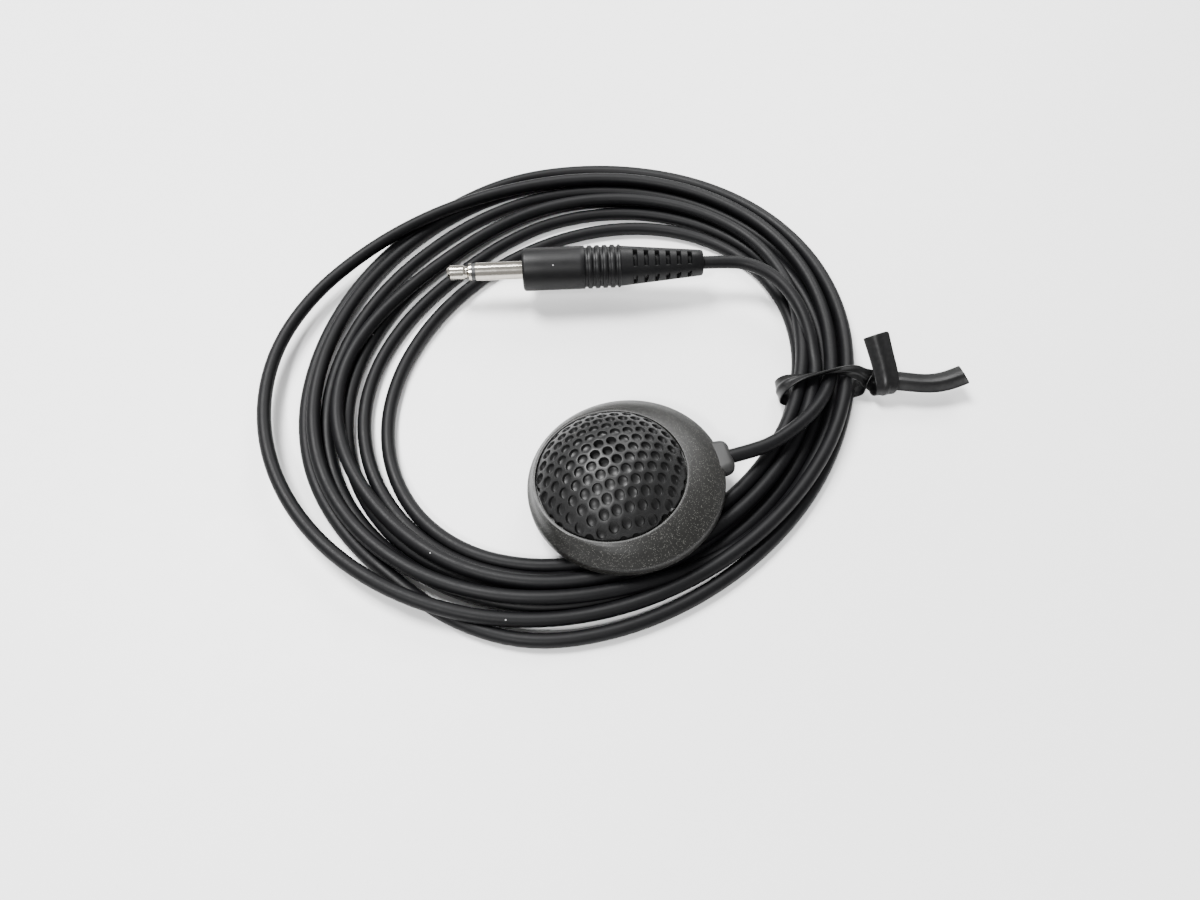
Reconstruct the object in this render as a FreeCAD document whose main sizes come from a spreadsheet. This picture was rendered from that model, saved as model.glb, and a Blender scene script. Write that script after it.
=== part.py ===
"""A small round table-top microphone with a coiled cord, a 3.5 mm mono plug and a twist tie.

Millimetres, +Z up. The origin is on the surface that the microphone stands on, under the middle of
its box, and the plug's pin points along -X. One edge of the microphone's foot rests on that surface
and its other side leans on the coil.
"""

import FreeCAD, Part
import math
import os
import Sketcher

doc = FreeCAD.newDocument("table_microphone")
Vector = FreeCAD.Vector
Z = Vector(0, 0, 1)

SIZES = {
    # housing, measured up from the foot
    "rim_radius": 16.75,
    "rim_height": 6.0,
    "parting_height": 3.8,
    "crown_height": 9.0,
    "shell_wall": 1.4,
    "roof_drop": 1.1,
    "eye_radius": 12.6,
    "eye_offset": 2.3,
    "eye_gap": 0.15,
    "eye_lip": 0.3,
    "seat_depth": 0.8,
    "seat_width": 1.2,
    "seat_thick": 0.5,
    "base_radius": 10.6,
    "base_step": 0.4,
    "floor_wall": 1.4,
    "spigot_height": 1.0,
    "spigot_wall": 1.2,
    "foot_radius": 10.0,
    "foot_thick": 0.8,
    "fit_gap": 0.05,
    # screws that hold the two shells together
    "screw_circle": 11.8,
    "screw_angle": 58.0,
    "screw_radius": 0.85,
    "screw_head_radius": 1.6,
    "screw_head_thick": 0.9,
    "screw_length": 3.8,
    "post_radius": 1.7,
    "screw_floor": 1.0,
    "screw_recess": 2.4,
    "well_wall": 0.5,
    "head_clear": 0.15,
    "shank_clear": 0.1,
    # domed grille
    "dome_rise": 6.9,
    "dome_wall": 1.2,
    "hole_radius": 0.75,
    "hole_pitch": 2.1,
    "dimple_depth": 0.65,
    "open_rings": 1,
    "hole_rings": 7,
    "hole_margin": 0.55,
    "collar_radius": 5.75,
    "collar_wall": 1.0,
    "collar_depth": 3.6,
    # capsule under the grille
    "felt_thick": 0.6,
    "felt_drop": 0.08,
    "boot_lip": 0.3,
    "boot_opening": 3.8,
    "can_radius": 4.85,
    "can_height": 4.5,
    "can_wall": 0.25,
    "can_hole": 1.0,
    "crimp_thick": 0.2,
    "crimp_opening": 4.2,
    "cloth_thick": 0.2,
    "cloth_margin": 0.2,
    "ring_inner": 3.9,
    "diaphragm_thick": 0.4,
    "film_thick": 0.05,
    "spacer_thick": 0.1,
    "backplate_radius": 4.1,
    "backplate_thick": 0.5,
    "backplate_hole": 0.3,
    "backplate_hole_circle": 2.4,
    "holder_inner": 3.7,
    "contact_wall": 0.5,
    "board_thick": 0.6,
    "transistor_length": 1.6,
    "transistor_width": 1.2,
    "transistor_thick": 0.7,
    "transistor_lead_out": 0.3,
    "transistor_lead_thick": 0.15,
    # cord, its boss on the rim and the wires inside
    "cord_diameter": 2.5,
    "boss_stand": 1.85,
    "boss_half_width": 3.4,
    "boss_bottom": 3.2,
    "boss_top": 6.2,
    "boss_rounding": 0.9,
    "boss_flange_inset": 4.65,
    "boss_flange_thick": 1.0,
    "boss_flange_half_width": 4.1,
    "boss_flange_bottom": 3.7,
    "boss_flange_top": 5.6,
    "tail_inside": 9.5,
    "wire_diameter": 0.8,
    "wire_spread": 1.1,
    "wire_start": 1.3,
    "wire_drop": 1.6,
    "wire_straight": 2.6,
    "wire_close": 0.5,
    # how the microphone lies
    "boss_azimuth": 11.0,
    "tilt": 6.0,
    "tilt_azimuth": 144.0,
    "mic_x": -0.57,
    "mic_y": -0.3,
    # plug, measured along its axis from the front face of its moulding
    "pin_radius": 1.75,
    "shank_radius": 1.55,
    "sleeve_length": 9.0,
    "sleeve_bore": 1.15,
    "ring_length": 0.8,
    "ring_radius": 1.58,
    "tip_length": 4.7,
    "tip_radius": 1.4,
    "tip_flare": 1.7,
    "tip_flare_top": 1.66,
    "tip_neck": 1.12,
    "tip_flare_length": 0.5,
    "tip_slope": 0.4,
    "tip_neck_length": 0.3,
    "nose_radius": 0.9,
    "nose_length": 0.6,
    "rivet_length": 0.3,
    "rod_radius": 0.75,
    "front_wall": 1.0,
    "flange_radius": 2.6,
    "flange_thick": 1.6,
    "washer_radius": 1.9,
    "washer_thick": 0.8,
    "lug_thick": 0.4,
    "lug_width": 1.6,
    "lug_length": 3.4,
    "lug_root_width": 1.76,
    "lug_root_length": 0.53,
    "lug_inset": 0.15,
    "wire_on_lug": 1.8,
    "plug_wire_straight": 0.7,
    "plug_wire_shift": 1.6,
    "cavity_length": 9.5,
    "jacket_inside": 1.0,
    "barrel_radius": 4.1,
    "barrel_length": 11.3,
    "barrel_bevel": 0.5,
    "grip_length": 7.5,
    "groove_depth": 0.35,
    "groove_width": 0.6,
    "groove_pitch": 1.45,
    "groove_count": 5,
    "relief_length": 15.9,
    "relief_front": 3.85,
    "relief_end": 2.45,
    "slot_count": 6,
    "slot_pitch": 2.1,
    "slot_width": 0.7,
    "slot_start": 2.3,
    "slot_depth_front": 1.1,
    "slot_depth_end": 0.6,
    "rib_half_width": 0.9,
    "plug_front_x": -17.8,
    "plug_y": 46.6,
    "plug_z": 7.4,
    "plug_roll": -15.0,
    # coil: two ovals that hold the turns between them
    "outer_x": -11.0,
    "outer_y": 28.0,
    "outer_half_length": 57.2,
    "outer_half_width": 51.4,
    "outer_turn": 28.0,
    "inner_x": -4.6,
    "inner_y": 24.0,
    "inner_half_length": 40.9,
    "inner_half_width": 32.9,
    "inner_turn": 42.0,
    "ledge_width": 4.8,
    "ledge_shift": 3.4,
    "ledge_outer": 1.6,
    "lead_gap": 0.3,
    "mic_gap": 0.4,
    # flat plastic twist tie
    "tie_x": 37.2,
    "tie_y": 20.0,
    "tie_turn": 4.0,
    "tie_clear": 14.4,
    "tie_width": 4.0,
    "tie_thick": 0.4,
    "knot_radius": 1.5,
    "knot_length": 4.0,
    "long_tail": 15.5,
    "short_tail": 8.5,
    "long_tail_root": 0.5,
    "short_tail_start": 0.4,
    "tail_lean": 20.0,
}

sheet = doc.addObject("Spreadsheet::Sheet", "size")
for row, (alias, amount) in enumerate(SIZES.items(), start=1):
    sheet.set(f"A{row}", alias)
    sheet.set(f"B{row}", str(amount))
    sheet.setAlias(f"B{row}", alias)
doc.recompute()


def value(text):
    """The number that an expression on the sheet has now."""
    return float(sheet.evalExpression(text))


def number(text):
    """An expression as text, from a number or a text."""
    return text if isinstance(text, str) else repr(float(text))


# ---------------------------------------------------------------- helpers


def new(kind, name, **sizes):
    """A Part object whose sizes are expressions on the sheet."""
    thing = doc.addObject(kind, name)
    for prop, text in sizes.items():
        thing.setExpression(prop, number(text))
    return thing


def put(thing, x=0, y=0, z=0):
    """Moves a Part object to a place that the sheet gives."""
    for axis, text in (("x", x), ("y", y), ("z", z)):
        thing.setExpression(f"Placement.Base.{axis}", number(text))
    return thing


def rod(name, radius, height, x=0, y=0, z=0):
    return put(new("Part::Cylinder", name, Radius=radius, Height=height), x, y, z)


def block(name, length, width, height, x=0, y=0, z=0):
    return put(new("Part::Box", name, Length=length, Width=width, Height=height), x, y, z)


def fuse(name, *things):
    joined = doc.addObject("Part::MultiFuse", name)
    joined.Shapes = list(things)
    joined.Refine = True
    return joined


def cut(name, base, *tools):
    tool = tools[0] if len(tools) == 1 else fuse(f"{name}_tools", *tools)
    result = doc.addObject("Part::Cut", name)
    result.Base = base
    result.Tool = tool
    return result


def common(name, first, second):
    result = doc.addObject("Part::Common", name)
    result.Base = first
    result.Tool = second
    return result


def loft(name, low, high):
    """A solid between two circles, each (radius, x, z)."""
    rings = []
    for end, (radius, x, z) in (("low", low), ("high", high)):
        rings.append(put(new("Part::Circle", f"{name}_{end}", Radius=radius), x, 0, z))
    result = doc.addObject("Part::Loft", name)
    result.Sections = rings
    result.Solid = True
    result.Ruled = True
    return result


def turned(name, outline):
    """A body made by turning an outline of (radius, height) corners about +Z."""
    body = doc.addObject("PartDesign::Body", name)
    sketch = body.newObject("Sketcher::SketchObject", f"{name}_outline")
    plane = [p for p in body.Origin.OriginFeatures if p.Role == "XZ_Plane"][0]
    sketch.AttachmentSupport = [(plane, "")]
    sketch.MapMode = "FlatFace"
    corners = [(number(r), number(h)) for r, h in outline]
    at = [Vector(value(r), value(h), 0) for r, h in corners]
    count = len(at)
    for i in range(count):
        sketch.addGeometry(Part.LineSegment(at[i], at[(i + 1) % count]), False)
    for i in range(count):
        sketch.addConstraint(Sketcher.Constraint("Coincident", i, 2, (i + 1) % count, 1))
    for i, (r, h) in enumerate(corners):
        across = ("DistanceX", "r", r, at[i].x)
        up = ("DistanceY", "h", h, at[i].y)
        for kind, letter, text, now in (across, up):
            where = sketch.addConstraint(Sketcher.Constraint(kind, -1, 1, i, 1, now))
            sketch.renameConstraint(where, f"{letter}{i}")
            sketch.setExpression(f"Constraints.{letter}{i}", text)
    turn = body.newObject("PartDesign::Revolution", f"{name}_turn")
    turn.Profile = sketch
    turn.ReferenceAxis = (sketch, ["V_Axis"])
    turn.Angle = 360
    return body


def tube(name, points, diameter):
    """A round solid along straight runs joined by tangent arcs as large as the runs allow."""
    points = [Vector(*p) for p in points]
    edges = []
    start = points[0]
    for before, here, after in zip(points, points[1:], points[2:]):
        come = here - before
        leave = after - here
        half = come.getAngle(leave) / 2
        inset = 0.45 * min(come.Length, leave.Length)
        come.normalize()
        leave.normalize()
        first = here - come * inset
        last = here + leave * inset
        radius = inset / math.tan(half)
        inward = (leave - come).normalize()
        middle = here + inward * (radius / math.cos(half) - radius)
        edges.append(Part.LineSegment(start, first).toShape())
        edges.append(Part.Arc(first, middle, last).toShape())
        print(f"{name}: turn {math.degrees(2 * half):.0f} degrees, radius {radius:.1f}")
        start = last
    edges.append(Part.LineSegment(start, points[-1]).toShape())
    path = Part.Wire(edges)
    section = Part.Wire([Part.Circle(points[0], points[1] - points[0], diameter / 2).toShape()])
    solid = path.makePipeShell([section], True, False)
    expected = math.pi / 4 * diameter**2 * path.Length
    if abs(solid.Volume - expected) > 0.02 * expected:
        raise ValueError(f"{name} has a volume of {solid.Volume:.1f} and not {expected:.1f}")
    print(f"{name}: {path.Length:.1f} long")
    return solid


def feature(name, shape):
    thing = doc.addObject("Part::Feature", name)
    thing.Shape = shape
    return thing


# ---------------------------------------------------------------- places

LOW_SIDE = math.radians(value("size.tilt_azimuth"))
LEAN = Vector(-math.sin(LOW_SIDE), math.cos(LOW_SIDE), 0)
FOOT_LIFT = value("size.foot_radius") * math.sin(math.radians(value("size.tilt")))
MIC = FreeCAD.Placement(
    Vector(value("size.mic_x"), value("size.mic_y"), FOOT_LIFT),
    FreeCAD.Rotation(LEAN, value("size.tilt")) * FreeCAD.Rotation(Z, value("size.boss_azimuth")),
)
EYE = MIC * FreeCAD.Placement(Vector(-value("size.eye_offset"), 0, 0), FreeCAD.Rotation())
PLUG = FreeCAD.Placement(
    Vector(value("size.plug_front_x"), value("size.plug_y"), value("size.plug_z")),
    FreeCAD.Rotation(Vector(0, 1, 0), -90) * FreeCAD.Rotation(Z, value("size.plug_roll")),
)
TIE = FreeCAD.Placement(
    Vector(value("size.tie_x"), value("size.tie_y"), 0), FreeCAD.Rotation(Z, value("size.tie_turn"))
)
HERE = FreeCAD.Placement()

pieces = []


def piece(label, thing, place):
    """Names a finished sub-part and puts it in its place."""
    thing.Label = label
    thing.Placement = place
    pieces.append(thing)
    return thing


# ---------------------------------------------------------------- levels that several pieces share

GRILLE = "(size.eye_radius - size.eye_gap)"
BALL = f"(({GRILLE}^2 + size.dome_rise^2) / (2 * size.dome_rise))"
BALL_Z = f"(size.crown_height + size.dome_rise - {BALL})"
HOLLOW_BALL = f"({BALL} - size.dome_wall)"
SEAT_Z = "(size.crown_height - size.seat_depth)"
SPIGOT = "(size.rim_radius - size.shell_wall - size.fit_gap)"
FLOOR_Z = "(size.foot_thick + size.floor_wall)"
HEAD_Z = "(size.foot_thick + size.screw_recess)"
POST_Z = f"({HEAD_Z} + size.screw_floor)"
BOSS_Z = "((size.boss_bottom + size.boss_top) / 2)"
CORD = "(size.cord_diameter / 2)"
BOSS_REACH = "(size.rim_radius + size.boss_stand)"
BOSS_ROOT = "(size.rim_radius - size.boss_flange_inset)"
BOOT = "(size.collar_radius - size.fit_gap)"
FELT_TOP = f"({BALL_Z} + sqrt({HOLLOW_BALL}^2 - {BOOT}^2) - size.felt_drop)"
BOOT_TOP = f"({FELT_TOP} - size.felt_thick)"
CAN_TOP = f"({BOOT_TOP} - size.boot_lip)"
CAN_FOOT = f"({CAN_TOP} - size.can_height)"
CAN_ROOF = f"({CAN_TOP} - size.can_wall)"
CAN_INSIDE = "(size.can_radius - size.can_wall)"
LOOSE = f"({CAN_INSIDE} - size.fit_gap)"
BOARD_FOOT = f"({CAN_FOOT} + size.crimp_thick)"
BOARD_TOP = f"({BOARD_FOOT} + size.board_thick)"
FILM_Z = f"({CAN_ROOF} - size.diaphragm_thick)"
PLATE_TOP = f"({FILM_Z} - size.spacer_thick)"
PLATE_FOOT = f"({PLATE_TOP} - size.backplate_thick)"


def at_screws(name, radius, height, z):
    """The same rod at each screw."""
    rods = []
    for side, sign in (("left", 1), ("right", -1)):
        x = "size.screw_circle * cos(size.screw_angle * 1deg)"
        y = f"{sign} * size.screw_circle * sin(size.screw_angle * 1deg)"
        rods.append(rod(f"{name}_{side}", radius, height, x, y, z))
    return rods


def boss_notch(name):
    """The opening that the cord's boss fills in the edge of both shells."""
    start = f"{BOSS_ROOT} + size.boss_flange_thick"
    half = "(size.boss_half_width + size.fit_gap)"
    opening = block(
        f"{name}_opening",
        f"{BOSS_REACH} - {start}",
        f"2 * {half}",
        "size.boss_top - size.boss_bottom + 2 * size.fit_gap",
        start,
        f"-{half}",
        "size.boss_bottom - size.fit_gap",
    )
    inside = value("size.tail_inside")
    foot = Vector(inside, 0, value(BOSS_Z))
    radius = value(CORD) + value("size.fit_gap")
    channel = Part.makeCylinder(radius, value(BOSS_REACH) - inside, foot, Vector(1, 0, 0))
    return fuse(name, opening, feature(f"{name}_channel", channel))


# ---------------------------------------------------------------- housing


def top_shell():
    """The rim and the sloping crescent, which rises to a round eye set off from the middle."""
    wall_height = "size.rim_height - size.parting_height"
    wall = rod("rim_wall", "size.rim_radius", wall_height, z="size.parting_height")
    crown = ("size.eye_radius + size.eye_lip", "-size.eye_offset", "size.crown_height")
    slope = loft("crescent", ("size.rim_radius", 0, "size.rim_height"), crown)
    solid = fuse("shell_solid", wall, slope)
    bore_radius = "size.rim_radius - size.shell_wall"
    roof_z = "size.rim_height - size.roof_drop"
    bore = rod("rim_bore", bore_radius, f"{roof_z} - size.parting_height", z="size.parting_height")
    throat_radius = "size.eye_radius - size.seat_width"
    throat_z = f"{SEAT_Z} - size.seat_thick"
    throat_edge = (throat_radius, "-size.eye_offset", throat_z)
    under = loft("crescent_hollow", (bore_radius, 0, roof_z), throat_edge)
    hollow = fuse("shell_hollow", bore, under)
    posts = at_screws("post", "size.post_radius", "size.crown_height", POST_Z)
    room = cut("shell_room", hollow, *posts)
    throat = rod("throat", throat_radius, "size.crown_height", "-size.eye_offset", 0, throat_z)
    recess = rod("recess", "size.eye_radius", "size.crown_height", "-size.eye_offset", 0, SEAT_Z)
    pilot_height = f"{HEAD_Z} + size.screw_length + size.screw_radius / 2 - {POST_Z}"
    pilots = at_screws("pilot", "size.screw_radius + size.fit_gap", pilot_height, POST_Z)
    return cut("top_shell", solid, room, throat, recess, boss_notch("shell_notch"), *pilots)


def bottom_cover():
    """The tapered underside, with a spigot that fits inside the rim and two screw wells."""
    spigot_z = "(size.parting_height + size.spigot_height)"
    solid = turned("cover_solid", [
        (0, "size.foot_thick"),
        ("size.base_radius", "size.foot_thick"),
        ("size.rim_radius - size.base_step", "size.parting_height"),
        (SPIGOT, "size.parting_height"),
        (SPIGOT, spigot_z),
        (0, spigot_z),
    ])
    bore = f"({SPIGOT} - size.spigot_wall)"
    hollow = turned("cover_hollow", [
        (0, FLOOR_Z),
        ("size.base_radius - size.floor_wall / 2", FLOOR_Z),
        (bore, "size.parting_height"),
        (bore, f"{spigot_z} + size.spigot_height"),
        (0, f"{spigot_z} + size.spigot_height"),
    ])
    well_height = f"{POST_Z} - size.foot_thick"
    wells = at_screws("well", "size.post_radius + size.well_wall", well_height, "size.foot_thick")
    room = cut("cover_room", hollow, *wells)
    heads = at_screws("head_well", "size.screw_head_radius + size.head_clear", HEAD_Z, 0)
    loose = "size.screw_radius + size.shank_clear"
    shanks = at_screws("shank_hole", loose, "size.rim_height", "size.foot_thick")
    posts = at_screws("post_notch", "size.post_radius + size.shank_clear", "size.rim_height", POST_Z)
    return cut("bottom_cover", solid, room, *heads, *shanks, *posts, boss_notch("cover_notch"))


def housing_screws():
    """Two equal pan-head screws, driven from below into the posts of the top shell."""
    thick = "size.screw_head_thick"
    heads = at_screws("screw_head", "size.screw_head_radius", thick, f"{HEAD_Z} - {thick}")
    shanks = at_screws("screw_shank", "size.screw_radius", "size.screw_length", HEAD_Z)
    return fuse("housing_screws", *heads, *shanks)


def foot_pad():
    return disc("foot_pad", "size.foot_radius", 0, "size.foot_thick")


def hole_tools():
    """Pins in a lattice that is even when seen from above: the middle ones go through, the rest are dimples."""
    ball = value(BALL)
    pitch = value("size.hole_pitch")
    radius = value("size.hole_radius")
    rings = int(value("size.hole_rings"))
    open_rings = int(value("size.open_rings"))
    edge = value(GRILLE) - radius - value("size.hole_margin")
    centre = Vector(0, 0, value(BALL_Z))
    pins = []
    for j in range(-rings, rings + 1):
        for i in range(-rings, rings + 1):
            x = pitch * (i + j / 2)
            y = pitch * j * math.sqrt(3) / 2
            away = math.hypot(x, y)
            ring = max(abs(i), abs(j), abs(i + j))
            if ring > rings or away > edge:
                continue
            lean = math.asin(away / ball)
            turn = math.atan2(y, x)
            side = math.sin(lean)
            out = Vector(side * math.cos(turn), side * math.sin(turn), math.cos(lean))
            depth = 2 * value("size.dome_wall") if ring <= open_rings else value("size.dimple_depth")
            pins.append(Part.makeCylinder(radius, depth + radius, centre + out * (ball - depth), out))
    return Part.Compound(pins)


def dome_grille():
    """A part of a hollow ball on a flat rim, with a round collar inside that holds the capsule."""
    ball = put(new("Part::Sphere", "ball", Radius=BALL), z=BALL_Z)
    blank = rod("grille_blank", GRILLE, "2 * size.dome_rise", z=SEAT_Z)
    cap = common("cap", ball, blank)
    inside = put(new("Part::Sphere", "hollow_ball", Radius=HOLLOW_BALL), z=BALL_Z)
    skin = cut("skin", cap, inside)
    collar_z = f"({BOOT_TOP} - size.collar_depth)"
    wide = "(size.collar_radius + size.collar_wall)"
    collar_top = f"{BALL_Z} + sqrt({BALL}^2 - {wide}^2) - size.dome_wall / 2"
    collar = rod("collar", wide, f"{collar_top} - {collar_z}", z=collar_z)
    socket_height = f"{FELT_TOP} + size.felt_drop - {collar_z}"
    socket = rod("socket", "size.collar_radius", socket_height, z=collar_z)
    ring = cut("collar_ring", collar, socket)
    solid = fuse("grille_solid", skin, ring)
    pins = feature("hole_pins", hole_tools())
    return cut("dome_grille", solid, pins)


# ---------------------------------------------------------------- capsule, about the middle of the dome


def disc(name, radius, low, high):
    return turned(name, [(0, low), (radius, low), (radius, high), (0, high)])


def ring(name, inner, outer, low, high):
    return turned(name, [(inner, low), (outer, low), (outer, high), (inner, high)])


def capsule_boot():
    loose = "(size.can_radius + size.fit_gap)"
    foot = f"{CAN_FOOT} + size.boot_lip"
    return turned("capsule_boot", [
        (loose, foot),
        (BOOT, foot),
        (BOOT, BOOT_TOP),
        ("size.boot_opening", BOOT_TOP),
        ("size.boot_opening", CAN_TOP),
        (loose, CAN_TOP),
    ])


def capsule_can():
    return turned("capsule_can", [
        ("size.can_hole", CAN_ROOF),
        (CAN_INSIDE, CAN_ROOF),
        (CAN_INSIDE, BOARD_FOOT),
        ("size.crimp_opening", BOARD_FOOT),
        ("size.crimp_opening", CAN_FOOT),
        ("size.can_radius", CAN_FOOT),
        ("size.can_radius", CAN_TOP),
        ("size.can_hole", CAN_TOP),
    ])


def capsule_diaphragm():
    film_top = f"{FILM_Z} + size.film_thick"
    return turned("capsule_diaphragm", [
        (0, FILM_Z),
        (LOOSE, FILM_Z),
        (LOOSE, CAN_ROOF),
        ("size.ring_inner", CAN_ROOF),
        ("size.ring_inner", film_top),
        (0, film_top),
    ])


def capsule_backplate():
    plate = disc("plate", "size.backplate_radius", PLATE_FOOT, PLATE_TOP)
    holes = []
    circle = "size.backplate_hole_circle"
    height = "2 * size.backplate_thick"
    z = f"{PLATE_FOOT} - size.backplate_thick / 2"
    for name, x, y in (("east", 1, 0), ("north", 0, 1), ("west", -1, 0), ("south", 0, -1)):
        at = (f"{x} * {circle}", f"{y} * {circle}", z)
        holes.append(rod(f"plate_hole_{name}", "size.backplate_hole", height, *at))
    return cut("capsule_backplate", plate, *holes)


def capsule_holder():
    step = "(size.backplate_radius + size.fit_gap)"
    return turned("capsule_holder", [
        ("size.holder_inner", BOARD_TOP),
        (LOOSE, BOARD_TOP),
        (LOOSE, PLATE_TOP),
        (step, PLATE_TOP),
        (step, PLATE_FOOT),
        ("size.holder_inner", PLATE_FOOT),
    ])


def transistor():
    length = "size.transistor_length"
    width = "size.transistor_width"
    out = "size.transistor_lead_out"
    body_at = (f"-{length} / 2", f"-{width} / 2", BOARD_TOP)
    body = block("transistor_body", length, width, "size.transistor_thick", *body_at)
    leads_at = (f"-{length} / 2 - {out}", f"-{width} / 6", BOARD_TOP)
    leads_size = (f"{length} + 2 * {out}", f"{width} / 3", "size.transistor_lead_thick")
    return fuse("transistor_whole", body, block("transistor_leads", *leads_size, *leads_at))


# ---------------------------------------------------------------- cord inside the housing


def cord_boss():
    """The rounded stub on the rim, with a flange inside the wall that the cord can't be pulled past."""
    low = value("size.boss_bottom")
    high = value("size.boss_top")
    half = value("size.boss_half_width")
    reach = value(BOSS_REACH)
    start = value(BOSS_ROOT)
    thick = value("size.boss_flange_thick")
    inner = start + thick
    stub = Part.makeBox(reach - inner, 2 * half, high - low, Vector(inner, -half, low))
    rounded = [e for e in stub.Edges if e.CenterOfMass.x > inner + thick / 2]
    stub = stub.makeFillet(value("size.boss_rounding"), rounded)
    wide = value("size.boss_flange_half_width")
    foot = value("size.boss_flange_bottom")
    tall = value("size.boss_flange_top") - foot
    flange = Part.makeBox(thick, 2 * wide, tall, Vector(start, -wide, foot))
    bore = Part.makeCylinder(value(CORD), reach, Vector(0, 0, value(BOSS_Z)), Vector(1, 0, 0))
    return feature("cord_boss", stub.fuse(flange).removeSplitter().cut(bore))


# where a capsule wire bends: along X from the board, share of its spread, height over the cord
CAPSULE_WIRE_BENDS = [(2.0, 0.95, 0.4), (5.6, 0.7, -0.1)]


def capsule_wire(name, side):
    """A lead from the capsule's board to the end of the cord's jacket."""
    spread = side * value("size.wire_spread")
    close = side * value("size.wire_close")
    board = value(BOARD_FOOT)
    middle = value(BOSS_Z)
    start = -value("size.wire_start")
    end = value("size.tail_inside")
    route = [(start, spread, board), (start, spread, board - value("size.wire_drop"))]
    for along, share, over in CAPSULE_WIRE_BENDS:
        route.append((start + along, spread * share, middle + over))
    route += [(end - value("size.wire_straight"), close, middle), (end, close, middle)]
    return feature(name, tube(name, route, value("size.wire_diameter")))


# ---------------------------------------------------------------- plug, about its own axis

RING_Z = "size.sleeve_length"
SHOULDER_Z = "(size.fit_gap / 2)"
TIP_Z = f"({RING_Z} + size.ring_length)"
NOSE_Z = f"({TIP_Z} + size.tip_length)"
FLANGE_Z = "(-size.front_wall - size.flange_thick)"
WASHER_Z = f"({FLANGE_Z} - size.washer_thick)"
LUG_Z = f"({WASHER_Z} - size.lug_thick)"
GRIP_Z = "(-size.barrel_length - size.grip_length)"
PLUG_END = f"({GRIP_Z} - size.relief_length)"
JACKET_Z = "(-size.cavity_length + size.jacket_inside)"
AROUND_ROD = "(size.rod_radius + size.fit_gap / 2)"
BESIDE_WIRE = "(size.wire_diameter / 2 + size.fit_gap / 2)"
TIP_TAB_FOOT = f"({LUG_Z} - size.lug_length)"
SLEEVE_TAB_LENGTH = "(size.lug_length + size.washer_thick)"
SLEEVE_TAB_FOOT = f"({FLANGE_Z} - {SLEEVE_TAB_LENGTH})"


def plug_tip():
    flare_z = f"{TIP_Z} + size.tip_flare_length"
    neck_z = f"{flare_z} + size.tip_slope"
    bulge_z = f"{neck_z} + size.tip_neck_length"
    rivet_z = f"{LUG_Z} - size.rivet_length"
    return turned("plug_tip", [
        (0, rivet_z),
        ("size.rod_radius", rivet_z),
        ("size.rod_radius", TIP_Z),
        ("size.tip_flare", TIP_Z),
        ("size.tip_flare_top", flare_z),
        ("size.tip_neck", neck_z),
        ("size.tip_neck", bulge_z),
        ("size.tip_radius", f"{bulge_z} + size.tip_slope"),
        ("size.tip_radius", f"{NOSE_Z} - size.nose_length"),
        ("size.nose_radius", NOSE_Z),
        (0, NOSE_Z),
    ])


def plug_insulator():
    inside = "(size.sleeve_bore - size.fit_gap / 2)"
    return turned("plug_insulator", [
        (AROUND_ROD, FLANGE_Z),
        (inside, FLANGE_Z),
        (inside, RING_Z),
        ("size.ring_radius", RING_Z),
        ("size.ring_radius", TIP_Z),
        (AROUND_ROD, TIP_Z),
    ])


def plug_sleeve():
    return turned("plug_sleeve", [
        ("size.sleeve_bore", FLANGE_Z),
        ("size.flange_radius", FLANGE_Z),
        ("size.flange_radius", "-size.front_wall"),
        ("size.shank_radius", "-size.front_wall"),
        ("size.shank_radius", SHOULDER_Z),
        ("size.pin_radius", SHOULDER_Z),
        ("size.pin_radius", RING_Z),
        ("size.sleeve_bore", RING_Z),
    ])


def plug_tip_lug():
    washer = rod("lug_washer", "size.lug_width", "size.lug_thick", z=LUG_Z)
    hole = rod("lug_hole", AROUND_ROD, "2 * size.lug_thick", z=f"{LUG_Z} - size.lug_thick / 2")
    tab_at = ("size.lug_width - size.lug_thick", "-size.lug_width / 2", TIP_TAB_FOOT)
    tab = block("lug_tab", "size.lug_thick", "size.lug_width", "size.lug_length", *tab_at)
    return cut("plug_tip_lug", fuse("lug_whole", washer, tab), hole)


def plug_sleeve_lug():
    thick = "size.lug_thick"
    x = "-size.flange_radius + size.lug_inset"
    tab_at = (x, "-size.lug_width / 2", SLEEVE_TAB_FOOT)
    tab = block("sleeve_tab", thick, "size.lug_width", SLEEVE_TAB_LENGTH, *tab_at)
    root_at = (x, "-size.lug_root_width / 2", f"{FLANGE_Z} - size.lug_root_length")
    root = block("sleeve_tab_root", thick, "size.lug_root_width", "size.lug_root_length", *root_at)
    return fuse("plug_sleeve_lug", tab, root)


def relief_slots():
    """Rings of four notches each, with ribs left between them so that the relief bends evenly."""
    length = value("size.relief_length")
    front = value("size.relief_front")
    grip = value(GRIP_Z)
    rib = value("size.rib_half_width")
    core_front = front - value("size.slot_depth_front")
    core_end = value("size.relief_end") - value("size.slot_depth_end")
    core = Part.makeCone(core_front, core_end, length, Vector(0, 0, grip), Vector(0, 0, -1))
    ribs = []
    for turn in (45, 135):
        bar = Part.makeBox(4 * front, 2 * rib, length, Vector(-2 * front, -rib, grip - length))
        ribs.append(bar.rotate(Vector(), Z, turn))
    width = value("size.slot_width")
    notches = []
    for i in range(int(value("size.slot_count"))):
        z = grip - value("size.slot_start") - i * value("size.slot_pitch") - width
        plate = Part.makeCylinder(2 * front, width, Vector(0, 0, z))
        notches.append(plate.cut(core.fuse(ribs)))
    return Part.Compound(notches)


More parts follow.
